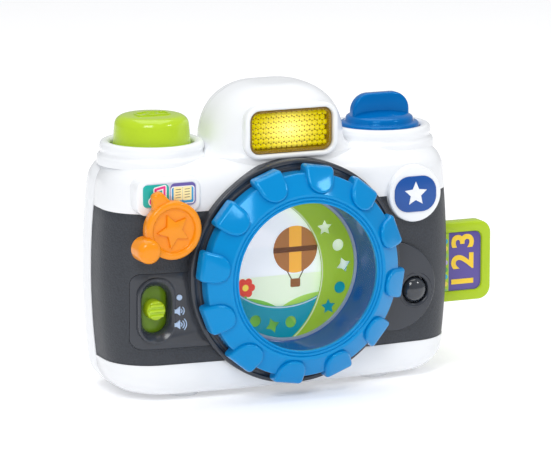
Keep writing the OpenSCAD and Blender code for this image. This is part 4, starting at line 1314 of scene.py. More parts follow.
@dataclass
class CaseWork(Assembly):
    """The two white halves of the case."""

    form: BodyForm
    hump: HumpForm
    grip: GripForm
    wall: float = 3.2
    seam: float = 0.12
    edge: Edge = Edge(0.35, 2, 55.0)
    collar_r: float = 23.7
    collar_cut: Span = (100.0, 140.0)
    lens_r: float = 46.2
    dome_r: float = 6.6
    slot: Corner = (15.0, 33.0, 4.0)
    flash: Corner = (43.4, 21.6, 5.2)
    slide_low: Corner = (60.0, 2.0, 26.6)
    slide_high: Corner = (110.0, 12.0, 70.4)
    recess: Corner = (50.9, 34.0, 3.0)
    recess_cut: Span = (31.9, 40.0)
    grille_at: Point = (-52.0, 62.0)
    grille: tuple[tuple[float, int], ...] = ((4.6, 6), (9.2, 12), (13.8, 18))
    grille_r: float = 1.3
    grille_cut: Span = (20.0, 45.0)
    screws: tuple[Point, ...] = ((76.0, 14.0), (80.0, 94.0), (28.5, 124.0))
    post_r: float = 5.0
    post_span: Span = (8.0, 40.0)
    skin: float = 1.5
    screw_r: float = 3.3
    screw_cut: Span = (9.2, 45.0)

    def solid(self, name: str, inset: float = 0.0) -> Object:
        """The body and the hump in one."""
        return Bench.work(self.form.build(name, inset), self.hump.build("hump", inset), Cut.ADD)

    def shell(self) -> Object:
        """The hollow case with the openings that both halves share.

        Returns:
            The case in one piece.
        """
        case = Bench.work(self.solid("front_case"), self.solid("room", self.wall))
        for side in (-1, 1):
            at = (side * SPOT.control_x, 0, 0)
            Bench.work(case, Bench.rod(self.collar_r, self.collar_cut, at, Facing.UP))
        return Bench.bore(case, self.lens_r, SPOT.lens)

    def half(self, near: float, far: float) -> Object:
        """A cutter across the whole case between two places in y."""
        return Bench.block("half", (-REACH, near, -REACH), (REACH, far, 2 * REACH))

    def rods(self, radius: float, span: Span, spots: Iterable[Point]) -> Object:
        """Bars that point backward, joined to one tool."""
        return Bench.join(*[Bench.rod(radius, span, (x, 0, z), Facing.BACK) for x, z in spots])

    def open_front(self, case: Object) -> None:
        """Cuts the grips' pocket and the openings of the front half.

        Args:
            case: the whole shell, cut to its front half.
        """
        Bench.work(case, self.half(SPOT.split_y - self.seam, REACH))
        Bench.work(case, Bench.work(self.grip.slab(0.0), self.grip.core(0.0)))
        Bench.work(case, Bench.front(Bench.pad("slot", self.slot, FRONT_CUT), SPOT.knob))
        Bench.bore(case, self.dome_r, SPOT.dome)
        Bench.work(case, Bench.front(Bench.pad("flash_hole", self.flash, FRONT_CUT), SPOT.flash))

    def open_rear(self, case: Object) -> None:
        """Cuts the slide's slot, the door's recess and the grille of the rear half, and adds its screw posts.

        Args:
            case: the whole shell, cut to its rear half.
        """
        Bench.work(case, self.half(-REACH, SPOT.split_y + self.seam))
        Bench.work(case, Bench.block("slide_slot", self.slide_low, self.slide_high))
        recess = Bench.pad("recess", self.recess, self.recess_cut)
        Bench.work(case, Bench.place(recess, (0, 0, SPOT.door_z), Facing.BACK))
        x, z = self.grille_at
        dots = [(0.0, 0.0)] + [p for radius, count in self.grille for p in ring_points(radius, count)]
        Bench.work(case, self.rods(self.grille_r, self.grille_cut, [(x + dx, z + dz) for dx, dz in dots]))
        screws = [(side * x, z) for side in (-1, 1) for x, z in self.screws]
        posts = self.rods(self.post_r, self.post_span, screws)
        Bench.work(posts, self.solid("skin", self.skin), Cut.SHARE)
        Bench.work(case, posts, Cut.ADD)
        Bench.work(case, self.rods(self.screw_r, self.screw_cut, screws))

    def build(self) -> list[Piece]:
        """Models both halves.

        Returns:
            The front and the rear half.
        """
        front = self.shell()
        rear = Bench.twin(front, "rear_case")
        self.open_front(front)
        self.open_rear(rear)
        for half in (front, rear):
            Bench.soften(half, self.edge)
        return [Piece(front, PAINT.white, "front_shell"), Piece(rear, PAINT.white, "rear_shell")]


@dataclass
class GripWork(Assembly):
    """The dark inlays, with a smooth panel round the volume slot."""

    grip: GripForm
    gap: float = 0.1
    slack: float = 0.05
    edge: Edge = Edge(0.3, 2, 55.0)
    lens_r: float = 50.0
    dome_r: float = 9.0
    panel: Profile = ((-81.6, 26.9, 5.0), (-30.0, 26.9, 0.0), (-30.0, 63.8, 0.0), (-81.6, 63.8, 5.0))
    panel_mid: Point = (-60.0, 45.0)
    panel_gap: float = 0.15
    slot: Corner = (16.4, 29.8, 7.8)

    def panel_form(self, outline: Sequence[Point]) -> Object:
        """The panel's outline as a tool through the front."""
        return Bench.front(Bench.prism("panel_form", outline, *FRONT_CUT), (0, 0))

    def build(self) -> list[Piece]:
        """Models both grips and the panel that is cut from the left one.

        Returns:
            The grips and the panel.
        """
        left = self.grip.form.build("left_grip", self.grip.sunk)
        Bench.work(left, self.grip.slab(self.gap), Cut.SHARE)
        Bench.work(left, self.grip.core(self.slack))
        Bench.bore(left, self.lens_r, SPOT.lens)
        right = Bench.twin(left, "right_grip")
        Bench.work(left, Bench.block("right_side", (0, -REACH, -REACH), (REACH, REACH, REACH)))
        Bench.work(right, Bench.block("left_side", (-REACH, -REACH, -REACH), (0, REACH, REACH)))
        panel = Bench.twin(left, "volume_panel")
        shape = rounded(self.panel)
        Bench.work(left, self.panel_form(shape))
        (mid_x, mid_z), gap = self.panel_mid, self.panel_gap
        inside = [(x + gap * (x < mid_x), z + (gap if z < mid_z else -gap)) for x, z in shape]
        Bench.work(panel, self.panel_form(inside), Cut.SHARE)
        Bench.work(panel, Bench.front(Bench.pad("slot", self.slot, FRONT_CUT), SPOT.knob))
        Bench.bore(right, self.dome_r, SPOT.dome)
        for piece in (left, right, panel):
            Bench.soften(piece, self.edge)
        return [
            Piece(left, PAINT.grip, "left_grip"), Piece(right, PAINT.grip, "right_grip"),
            Piece(panel, PAINT.smooth),
        ]


@dataclass
class TrimWork(Assembly):
    """What is fixed to the outside: plates, lips, rims, feet and collars."""

    plate: Corner = (32.4, 17.0, 5.0)
    plate_span: Span = (24.0, 34.2)
    plate_edge: Edge = Edge(1.0)
    badge: Profile = ((0, 26, 0), (13.8, 26, 0), (13.8, 35.2, 2.4), (12.0, 35.2, 0.3), (0, 35.2, 0))
    insert: Corner = (22.0, 17.5, 7.5)
    insert_span: Span = (35.0, 35.8)
    insert_edge: Edge = Edge(0.25, 2)
    star_r: Span = (2.9, 6.2)
    star_points: int = 5
    star_turn: float = 90.0
    star_span: Span = (35.6, 36.1)
    star_edge: Edge = Edge(0.2, 2)
    lip: Corner = (48.0, 26.2, 7.6)
    lip_hole: Corner = (42.9, 21.1, 5.0)
    lip_span: Span = (26.0, 31.6)
    lip_edge: Edge = Edge(1.1)
    disc: Profile = ((0, 27.0, 0), (21.8, 27.0, 0), (21.8, 33.5, 0.7), (0, 33.5, 0))
    disc_at: Point = (53.0, 47.5)
    disc_lens_r: float = 52.0
    disc_dome_r: float = 8.8
    rim: Corner = (18.6, 32.0, 8.6)
    rim_span: Span = (25.7, 31.6)
    rim_edge: Edge = Edge(0.3, 2)
    rim_hole: Corner = (13.2, 22.8, 6.4)
    rim_flare: Profile = ((20, 1, 1), (28.0, 1, 1), (29.4, 1.05, 1.08), (31.0, 1.2, 1.25), (32.0, 1.34, 1.38))
    dome_rim: Profile = ((6.7, 29.0, 0), (8.9, 29.0, 0), (8.9, 34.0, 0.7), (6.7, 33.4, 0.9))
    foot: Profile = ((0, 0, 0), (8, 0, 0.8), (8, 4.0, 0), (0, 4.0, 0))
    feet: Point = (50.0, 13.0)
    collar: Profile = (
        (20.1, 104, 0), (23.5, 104, 0), (23.5, 112.0, 0), (26.6, 112.0, 0), (26.3, 115.9, 1.8),
        (24.3, 117.2, 1.6), (25.2, 119.6, 1.6), (24.6, 122.6, 2.4), (20.1, 122.6, 2.2),
    )
    collar_fine: int = 8

    def signs(self) -> list[Piece]:
        """The label's plate, and the badge with its insert and star.

        Returns:
            The pieces in place.
        """
        plate = Bench.pad("label_plate", self.plate, self.plate_span, self.plate_edge)
        Bench.front(plate, SPOT.plate)
        badge = Bench.lathe("badge_disc", self.badge)
        insert = Bench.pad("badge_insert", self.insert, self.insert_span, self.insert_edge)
        inner, outer = self.star_r
        star = ring_points(outer, self.star_points, self.star_turn, inner)
        icon = Bench.soften(Bench.prism("badge_icon", star, *self.star_span), self.star_edge)
        for part in (badge, insert, icon):
            Bench.front(part, SPOT.badge)
        return [
            Piece(plate, PAINT.white), Piece(badge, PAINT.white), Piece(insert, PAINT.badge, "badge_plate"),
            Piece(icon, replace(PAINT.white, slot=PAINT.badge.slot)),
        ]

    def rims(self) -> list[Piece]:
        """The flash lip, the dome's disc and rim, and the funnel of the volume slot.

        Returns:
            The pieces in place.
        """
        below = self.lip_span[0] - Bench.OVERRUN
        lip = Bench.tray("flash_lip", self.lip, self.lip_span, self.lip_hole, below, self.lip_edge)
        disc = Bench.front(Bench.lathe("dome_disc", self.disc), self.disc_at)
        Bench.bore(disc, self.disc_lens_r, SPOT.lens)
        Bench.bore(disc, self.disc_dome_r, SPOT.dome)
        rim = Bench.pad("slot_rim", self.rim, self.rim_span)
        Bench.work(rim, Bench.loft("funnel", rectangle(*self.rim_hole), self.rim_flare))
        Bench.front(Bench.soften(rim, self.rim_edge), SPOT.knob)
        dome_rim = Bench.front(Bench.lathe("dome_rim", self.dome_rim, True), SPOT.dome)
        return [
            Piece(Bench.front(lip, SPOT.flash), PAINT.white), Piece(disc, PAINT.smooth),
            Piece(rim, PAINT.smooth), Piece(dome_rim, PAINT.smooth),
        ]

    def stands(self) -> list[Piece]:
        """The feet, and the collars of the button and the dial.

        Returns:
            The pieces in place.
        """
        x, y = self.feet
        spots = [(dx, dy, 0) for dx in (-x, x) for dy in (-y, y)]
        feet = [Bench.place(Bench.lathe("feet", self.foot, steps=Sides.PEG), spot) for spot in spots]
        pieces = [Piece(Bench.join(*feet), PAINT.white, "feet")]
        for side, name, node in ((-1, "button_collar", "button_bezel"), (1, "dial_collar", "dial_bezel")):
            collar = Bench.lathe(name, self.collar, True, Sides.DIAL, self.collar_fine)
            pieces.append(Piece(Bench.place(collar, (side * SPOT.control_x, 0, 0)), PAINT.white, node))
        return pieces

    def build(self) -> list[Piece]:
        """Models the trim from the signs to the feet."""
        return self.signs() + self.rims() + self.stands()


@dataclass
class LensWork(Assembly):
    """The turning lens, its mount, and the picture behind it."""

    knobs: int = 12
    knob_turn: float = -9.0
    knob_w: float = 15.0
    knob_in: float = 40.8
    knob_out: float = 53.0
    knob_taper: float = 1.0
    knob_corner: float = 1.8
    knob_span: Span = (38.2, 57.0)
    knob_top: Point = (41.0, 52.9)
    knob_slope: Point = (5.7, 9.5)
    knob_edge: Edge = Edge(2.2, 5, 30.0)
    ring: Profile = ((41.0, 37.5, 0.3), (49.5, 37.5, 0.5), (49.5, 45.5, 1.4), (40.2, 51.2, 0.8))
    ring_lip: Profile = ((35.7, 51.2, 0.35), (35.7, 49.1, 0.2), (41.0, 49.1, 0))
    grooves: tuple[float, ...] = (38.5, 36.9)
    groove: Point = (0.45, 0.6)
    groove_r: float = 0.12
    mount: Profile = (
        (46.2, 26.0, 0), (54.5, 26.0, 0), (54.5, 37.0, 1.7), (52.6, 37.0, 0.3), (52.2, 36.4, 0.2),
        (50.9, 36.4, 0.2), (50.5, 37.0, 0.3), (46.2, 37.0, 0.6),
    )
    barrel: Profile = (
        (40.9, 27.0, 0), (40.9, 47.1, 0.3), (38.8, 47.1, 0.5), (38.4, 45.6, 0.3), (37.6, 45.2, 0.4),
        (35.4, 27.0, 0),
    )
    barrel_edge: Profile = ((34.3, 26.9, 0), (36.0, 26.9, 0), (36.0, 28.2, 0.2), (34.3, 27.8, 0.4))
    window: Profile = ((0, 47.3, 0), (40.6, 47.3, 0.2), (40.6, 48.9, 0.4), (0, 48.9, 0))
    picture: Profile = ((0, 22.6, 0), (38.5, 22.6, 0.1), (38.5, 23.4, 0.2), (0, 23.4, 0))
    mask_r: float = 38.4
    mask_t: float = 0.5
    lime_low: float = 26.3
    teal_low: float = 25.7
    lime_holes: Profile = ((19, 18, 5), (26, 9, 0), (29, -1, 4), (27, -12, 0), (21, -21, 5))
    teal_holes: Profile = ((-17, -25, 0), (-8, -28, 4), (1.5, -27, 0))
    star_r: Span = (2.0, 4.0)
    star_turn: float = 20.0
    dot_r: float = 2.9
    tool_span: Span = (0.0, 60.0)

    def tongue(self) -> Object:
        """One knob: a long pad, round inside, cut to the slope of the ring.

        Returns:
            The knob before it is turned to its place.
        """
        w, corner = self.knob_w / 2, self.knob_corner
        narrow = w - self.knob_taper
        outline = rounded([
            (self.knob_in, -narrow, w), (self.knob_out, -w, corner), (self.knob_out, w, corner),
            (self.knob_in, narrow, w),
        ])
        pad = Bench.prism("tongue", outline, *self.knob_span)
        Bench.edit(pad)
        fall, run = self.knob_slope
        slope = Vector((fall / run, 0, 1)).normalized()
        x, z = self.knob_top
        bpy.ops.mesh.bisect(plane_co=(x * MM, 0, z * MM), plane_no=slope, use_fill=True, clear_outer=True)
        return Bench.soften(Bench.close(pad), self.knob_edge)

    def turning_ring(self) -> Object:
        """The blue ring with its knobs and the fine grooves round the opening.

        Returns:
            The ring in place.
        """
        half, depth = self.groove
        top = self.ring[-1][1]
        grooves = []
        for r in self.grooves:
            for dr, dz in ((half, 0.0), (0.0, depth), (-half, 0.0)):
                grooves.append((r + dr, top - dz, self.groove_r))
        ring = Bench.lathe("lens_ring", [*self.ring, *grooves, *self.ring_lip], True, Sides.RING)
        pad = self.tongue()
        turns = [self.knob_turn + 360 * i / self.knobs for i in range(self.knobs)]
        pads = [Bench.place(Bench.twin(pad, "knob"), (0, 0, 0), turn=turn) for turn in turns]
        Bench.drop(pad)
        return Bench.front(Bench.work(ring, Bench.join(*pads), Cut.ADD), SPOT.lens)

    def crescent(self, name: str, bite: Corner, low: float, holes: Profile) -> Object:
        """A printed crescent with cut-outs.

        Args:
            name: the piece's name.
            bite: middle and radius of the circle that it is cut back to.
            low: height of its back face.
            holes: middle and number of points of each cut-out, 0 for a round one.
        Returns:
            The thin sheet in place.
        """
        sheet = Bench.prism(name, ring_points(self.mask_r, Sides.DISC), low, low + self.mask_t)
        x, y, radius = bite
        tools = [(x, y, ring_points(radius, Sides.DIAL))]
        inner, outer = self.star_r
        for x, y, points in holes:
            shape = ring_points(self.dot_r, Sides.HOLE)
            if points:
                shape = ring_points(outer, points, self.star_turn, inner)
            tools.append((x, y, shape))
        for x, y, shape in tools:
            Bench.work(sheet, Bench.place(Bench.prism("hole", shape, *self.tool_span), (x, y, 0)))
        return Bench.front(sheet, SPOT.lens)

    def build(self) -> list[Piece]:
        """Models the lens from the mount inward.

        Returns:
            The lens, its mount and the picture.
        """
        mount = Bench.lathe("lens_mount", self.mount, True, Sides.RING)
        barrel = Bench.lathe("lens_barrel", self.barrel, True, Sides.DIAL)
        edge = Bench.lathe("barrel_edge", self.barrel_edge, True, Sides.DIAL)
        window = Bench.lathe("lens_window", self.window, steps=Sides.DIAL)
        disc = Bench.lathe("scene_disc", self.picture)
        lime = self.crescent("lime_mask", SPOT.lime_bite, self.lime_low, self.lime_holes)
        teal = self.crescent("teal_mask", SPOT.teal_bite, self.teal_low, self.teal_holes)
        for piece in (mount, barrel, edge, window, disc):
            Bench.front(piece, SPOT.lens)
        return [
            Piece(mount, PAINT.smooth, "lens_mount"),
            Piece(self.turning_ring(), PAINT.ring, "lens_ring", Body.LENS),
            Piece(barrel, PAINT.smoke, "lens_barrel", Body.LENS),
            Piece(edge, PAINT.rim, body=Body.LENS),
            Piece(window, PAINT.window, "lens_window", Body.LENS),
            Piece(lime, PAINT.lime_mask, "peep_mask", Body.LENS),
            Piece(teal, PAINT.teal_mask, body=Body.LENS),
            Piece(disc, PAINT.picture, "scene_disc"),
        ]


@dataclass
class TopWork(Assembly):
    """The shutter button, the winder dial and the flash."""

    button: Profile = (
        (0, 132.0, 0), (14.4, 131.8, 4.0), (16.2, 120, 0), (16.4, 110.4, 0.2), (19.2, 110.4, 0.4),
        (18.8, 120, 0), (17.6, 134.4, 6.2), (9.0, 134.9, 6.0), (0, 135.0, 0),
    )
    button_fine: int = 10
    emblem: Profile = (
        (-8.5, -5.2, 2.0), (8.5, -5.2, 2.0), (8.5, 3.6, 2.0), (4.2, 3.6, 0.8), (3.2, 5.4, 0.8),
        (-3.2, 5.4, 0.8), (-4.2, 3.6, 0.8), (-8.5, 3.6, 2.0),
    )
    emblem_span: Span = (133.9, 135.5)
    emblem_edge: Edge = Edge(0.2, 2)
    inside_shares: Point = (0.86, 0.80)
    inside_drop: float = 0.1
    eye_r: Span = (2.1, 3.1)
    eye_soft: float = 0.2
    eye_drop: float = 0.9
    dot_r: float = 0.7
    dot_at: Point = (5.6, 1.9)
    dial: Profile = (
        (0, 108, 0), (19.0, 108, 0), (19.5, 110, 0), (19.5, 123.4, 2.2), (17.0, 123.8, 0.4),
        (16.5, 125.4, 0.5),
    )
    dial_rise: float = 3.4
    fin: Profile = ((-15.0, 120.0, 0), (15.0, 120.0, 0), (15.0, 137.7, 9.5), (-15.0, 137.7, 9.5))
    fin_t: float = 5.6
    fin_steps: int = 12
    fin_edge: Edge = Edge(1.3, 4, 50.0)
    border: Corner = (42.7, 20.9, 4.9)
    border_span: Span = (21.0, 29.6)
    border_hole: Corner = (39.8, 18.0, 3.6)
    border_floor: float = 25.0
    border_edge: Edge = Edge(0.5)
    cell_sides: int = 6
    cell_turn: float = 30.0
    cell_r: float = 1.36
    cell_h: float = 1.0
    cell_tip: float = 1.4
    cell_low: float = 25.2
    cell_pitch: Point = (2.66, 2.46)
    cell_rows: int = 3
    cell_columns: int = 7
    cover: Corner = (41.6, 19.8, 4.5)
    cover_span: Span = (29.65, 30.6)
    cover_edge: Edge = Edge(0.3, 2)

    def shutter(self) -> Object:
        """The green button with a camera's outline moulded on its top.

        Returns:
            The button in place.
        """
        low, high = self.emblem_span
        body = Bench.lathe("shutter_button", self.button, steps=Sides.DIAL, fine=self.button_fine)
        line = rounded(self.emblem)
        outline = Bench.prism("outline", line, low, high)
        wide, tall = self.inside_shares
        inside = [(wide * x, tall * y - self.inside_drop) for x, y in line]
        Bench.work(outline, Bench.prism("inside", inside, low - Bench.OVERRUN, high + Bench.OVERRUN))
        inner, outer = self.eye_r
        soft = self.eye_soft
        circle = [(inner, low, 0), (outer, low, 0), (outer, high, soft), (inner, high, soft)]
        eye = Bench.place(Bench.lathe("eye", circle, True, Sides.PEG), (0, -self.eye_drop, 0))
        dot = Bench.prism("dot", ring_points(self.dot_r, Sides.DOT), low, high)
        Bench.place(dot, (*self.dot_at, 0))
        emblem = Bench.soften(Bench.join(outline, eye, dot), self.emblem_edge)
        return Bench.place(Bench.join(body, emblem), (-SPOT.control_x, 0, 0))

    def winder(self) -> Object:
        """The blue dial: a rim, a step, a low dome and the finger fin.

        Returns:
            The dial in place.
        """
        radius, low, _ = self.dial[-1]
        dome = dome_line(radius, low, self.dial_rise)[1:]
        top = (0, low + self.dial_rise, 0)
        base = Bench.lathe("winder_dial", [*self.dial, *dome, top], steps=Sides.DIAL)
        half = self.fin_t / 2
        fin = Bench.prism("fin", rounded(self.fin, True, self.fin_steps), -half, half)
        Bench.work(base, Bench.front(Bench.soften(fin, self.fin_edge), (0, 0)), Cut.ADD)
        return Bench.place(base, (SPOT.control_x, 0, 0))

    def prisms(self) -> Object:
        """A field of small six-sided pyramids.

        Returns:
            The field about the origin.
        """
        Bench.pick()
        radius = self.cell_r * MM
        bpy.ops.mesh.primitive_circle_add(vertices=self.cell_sides, radius=radius, fill_type="NGON")
        cell = bpy.context.object
        Bench.edit(cell)
        Bench.raise_face(self.cell_h)
        bpy.ops.mesh.poke(offset=self.cell_tip * MM)
        Bench.close(cell)
        wide, tall = self.cell_pitch
        field = []
        for row in range(-self.cell_rows, self.cell_rows + 1):
            for column in range(-self.cell_columns, self.cell_columns + 1):
                at = (wide * (column + 0.5 * (row % 2) - 0.25), tall * row, self.cell_low)
                field.append(Bench.place(Bench.twin(cell, "prism"), at, turn=self.cell_turn))
        Bench.drop(cell)
        return Bench.name(Bench.join(*field), "flash_prisms")

    def flash(self) -> list[Piece]:
        """The amber border, the prism field and the clear cover.

        Returns:
            The pieces in place.
        """
        border = Bench.tray(
            "flash_border", self.border, self.border_span, self.border_hole, self.border_floor,
            self.border_edge,
        )
        prisms = self.prisms()
        cover = Bench.pad("flash_cover", self.cover, self.cover_span, self.cover_edge)
        for piece in (border, prisms, cover):
            Bench.front(piece, SPOT.flash)
        return [
            Piece(border, PAINT.border, "flash_window"), Piece(prisms, PAINT.prisms),
            Piece(cover, PAINT.amber),
        ]

    def build(self) -> list[Piece]:
        """Models the controls on the deck and the flash.

        Returns:
            The button, the dial and the flash.
        """
        return [
            Piece(self.shutter(), PAINT.green, "shutter_button", Body.SHUTTER),
            Piece(self.winder(), PAINT.dial, "winder_dial", Body.WINDER),
        ] + self.flash()


@dataclass
class FrontWork(Assembly):
    """The mode lever with its label, the volume knob with its icons, and the dome button."""

    disc: Profile = (
        (0, 35.2, 0), (13.4, 35.2, 0.4), (14.0, 36.5, 0), (14.0, 42.0, 1.9), (10.9, 42.0, 1.2),
        (10.3, 40.2, 0.5), (0, 40.2, 0),
    )
    tip: Profile = ((0, -9.5, 0), (19.9, -2.3, 2.2), (19.9, 2.3, 2.2), (0, 9.5, 0))
    tip_span: Span = (35.4, 40.4)
    tip_edge: Edge = Edge(1.5, 4, 50.0)
    tip_turn: float = 114.0
    dish_r: float = 11.5
    dish_span: Span = (30.0, 50.0)
    peg: Profile = ((0, 35.4, 0), (6.0, 35.4, 0), (5.8, 46.4, 5.0), (0, 47.0, 0))
    peg_out: float = 16.0
    arm: Corner = (12.0, 10.0, 1.0)
    arm_span: Span = (35.5, 39.8)
    arm_edge: Edge = Edge(1.0)
    arm_out: float = 13.2
    arm_turn: float = 212.0
    star_r: Span = (4.1, 8.6)
    star_points: int = 5
    star_span: Span = (39.8, 41.5)
    star_edge: Edge = Edge(0.5, 2)
    label: Corner = (27.0, 11.6, 2.6)
    label_span: Span = (34.1, 34.5)
    label_edge: Edge = Edge(0.12, 2)
    icon_x: float = -58.6
    icon_span: Span = (31.6, 32.4)
    dot_r: float = 1.35
    dot_z: float = 51.6
    cone: tuple[Point, ...] = ((-2.4, -0.9), (-1.5, -0.9), (0.3, -2.2), (0.3, 2.2), (-1.5, 0.9), (-2.4, 0.9))
    speakers: tuple[tuple[float, int], ...] = ((45.0, 2), (38.4, 3))
    wave_r: Span = (1.05, 1.47)
    wave_pitch: float = 1.15
    wave_turn: int = 48
    wave_step: int = 8
    knob: Profile = ((0, 24.9, 0), (4.9, 24.9, 0), (4.7, 30.8, 1.2), (0, 31.0, 0))
    rib: Corner = (8.4, 1.3, 0.6)
    rib_less: float = 1.6
    rib_pitch: float = 2.5
    rib_span: Span = (29.8, 31.8)
    rib_edge: Edge = Edge(0.5)
    carriage: Corner = (13.8, 35.8, 2.0)
    carriage_span: Span = (23.2, 25.2)
    carriage_edge: Edge = Edge(0.4, 2)
    flange: Profile = ((0, 26.0, 0), (7.6, 26.0, 0.2), (7.6, 27.0, 0.2), (6.2, 27.0, 0))
    dome_r: float = 6.2
    dome_low: float = 31.6
    dome_rise: float = 4.2

    def lever(self) -> Object:
        """The orange lever: a dished disc, a pointer, a peg and a star.

        Returns:
            The lever in place.
        """
        disc = Bench.lathe("mode_lever", self.disc)
        pointer = Bench.prism("pointer", rounded(self.tip), *self.tip_span)
        Bench.soften(pointer, self.tip_edge)
        arm = Bench.pad("arm", self.arm, self.arm_span, self.arm_edge)
        peg = Bench.lathe("peg", self.peg, steps=Sides.KNOB)
        angle = math.radians(self.arm_turn)
        Bench.place(arm, (*polar(self.arm_out, angle), 0), turn=self.arm_turn)
        Bench.place(peg, (*polar(self.peg_out, angle), 0))
        for part, turn in ((pointer, self.tip_turn), (arm, 0.0)):
            Bench.work(part, Bench.prism("dish", ring_points(self.dish_r, Sides.KNOB), *self.dish_span))
            Bench.place(part, (0, 0, 0), turn=turn)
        inner, outer = self.star_r
        outline = ring_points(outer, self.star_points, self.tip_turn, inner)
        star = Bench.soften(Bench.prism("star", outline, *self.star_span), self.star_edge)
        for part in (pointer, arm, peg):
            Bench.work(disc, part, Cut.ADD)
        return Bench.front(Bench.join(disc, star), SPOT.lever)

    def wave(self, k: int) -> list[Point]:
        """Outline of a speaker's sound wave.

        Args:
            k: the wave's number, from 0 outward.
        Returns:
            The outline's points.
        """
        inner, outer = (r + self.wave_pitch * k for r in self.wave_r)
        turns = [math.radians(a) for a in range(-self.wave_turn, self.wave_turn + 1, self.wave_step)]
        return [polar(inner, a) for a in turns] + [polar(outer, a) for a in reversed(turns)]

    def icons(self) -> Object:
        """A dot, and two speakers with fewer and more waves, laid on the panel.

        Returns:
            The icons in place.
        """
        shapes = [(self.dot_z, ring_points(self.dot_r, Sides.HOLE))]
        for z, waves in self.speakers:
            shapes += [(z, self.cone)] + [(z, self.wave(k)) for k in range(waves)]
        parts = []
        for z, outline in shapes:
            parts.append(Bench.place(Bench.prism("icons", outline, *self.icon_span), (self.icon_x, z, 0)))
        return Bench.front(Bench.join(*parts), (0, 0))

    def ribbed_knob(self) -> Object:
        """The volume knob with three ribs, the middle one the longest.

        Returns:
            The knob in place.
        """
        knob = Bench.lathe("volume_knob", self.knob, steps=Sides.KNOB)
        length, width, corner = self.rib
        for k in (-1, 0, 1):
            size = (length - self.rib_less * abs(k), width, corner)
            rib = Bench.pad("rib", size, self.rib_span, self.rib_edge)
            Bench.join(knob, Bench.place(rib, (0, self.rib_pitch * k, 0)))
        return Bench.front(knob, SPOT.knob)

    def dome(self) -> Object:
        """The dome button on its flange.

        Returns:
            The button in place.
        """
        curve = dome_line(self.dome_r, self.dome_low, self.dome_rise)
        top = (0, self.dome_low + self.dome_rise, 0)
        dome = Bench.lathe("release_button", [*self.flange, *curve, top], steps=Sides.KNOB)
        return Bench.front(dome, SPOT.dome)

    def build(self) -> list[Piece]:
        """Models the small controls of the front.

        Returns:
            The lever, the label, the icons, the knob and the dome button.
        """
        label = Bench.pad("mode_label", self.label, self.label_span, self.label_edge)
        Bench.front(label, SPOT.label)
        dome = self.dome()
        carriage = Bench.pad("volume_carriage", self.carriage, self.carriage_span, self.carriage_edge)
        Bench.front(carriage, SPOT.knob)
        return [
            Piece(self.lever(), PAINT.orange, "mode_lever", Body.LEVER),
            Piece(label, PAINT.label, "mode_label"),
            Piece(self.icons(), PAINT.icons),
            Piece(self.ribbed_knob(), PAINT.green, "volume_knob", Body.VOLUME),
            Piece(carriage, PAINT.carriage, "volume_carriage", Body.VOLUME),
            Piece(dome, PAINT.gloss, "release_button", Body.RELEASE),
        ]


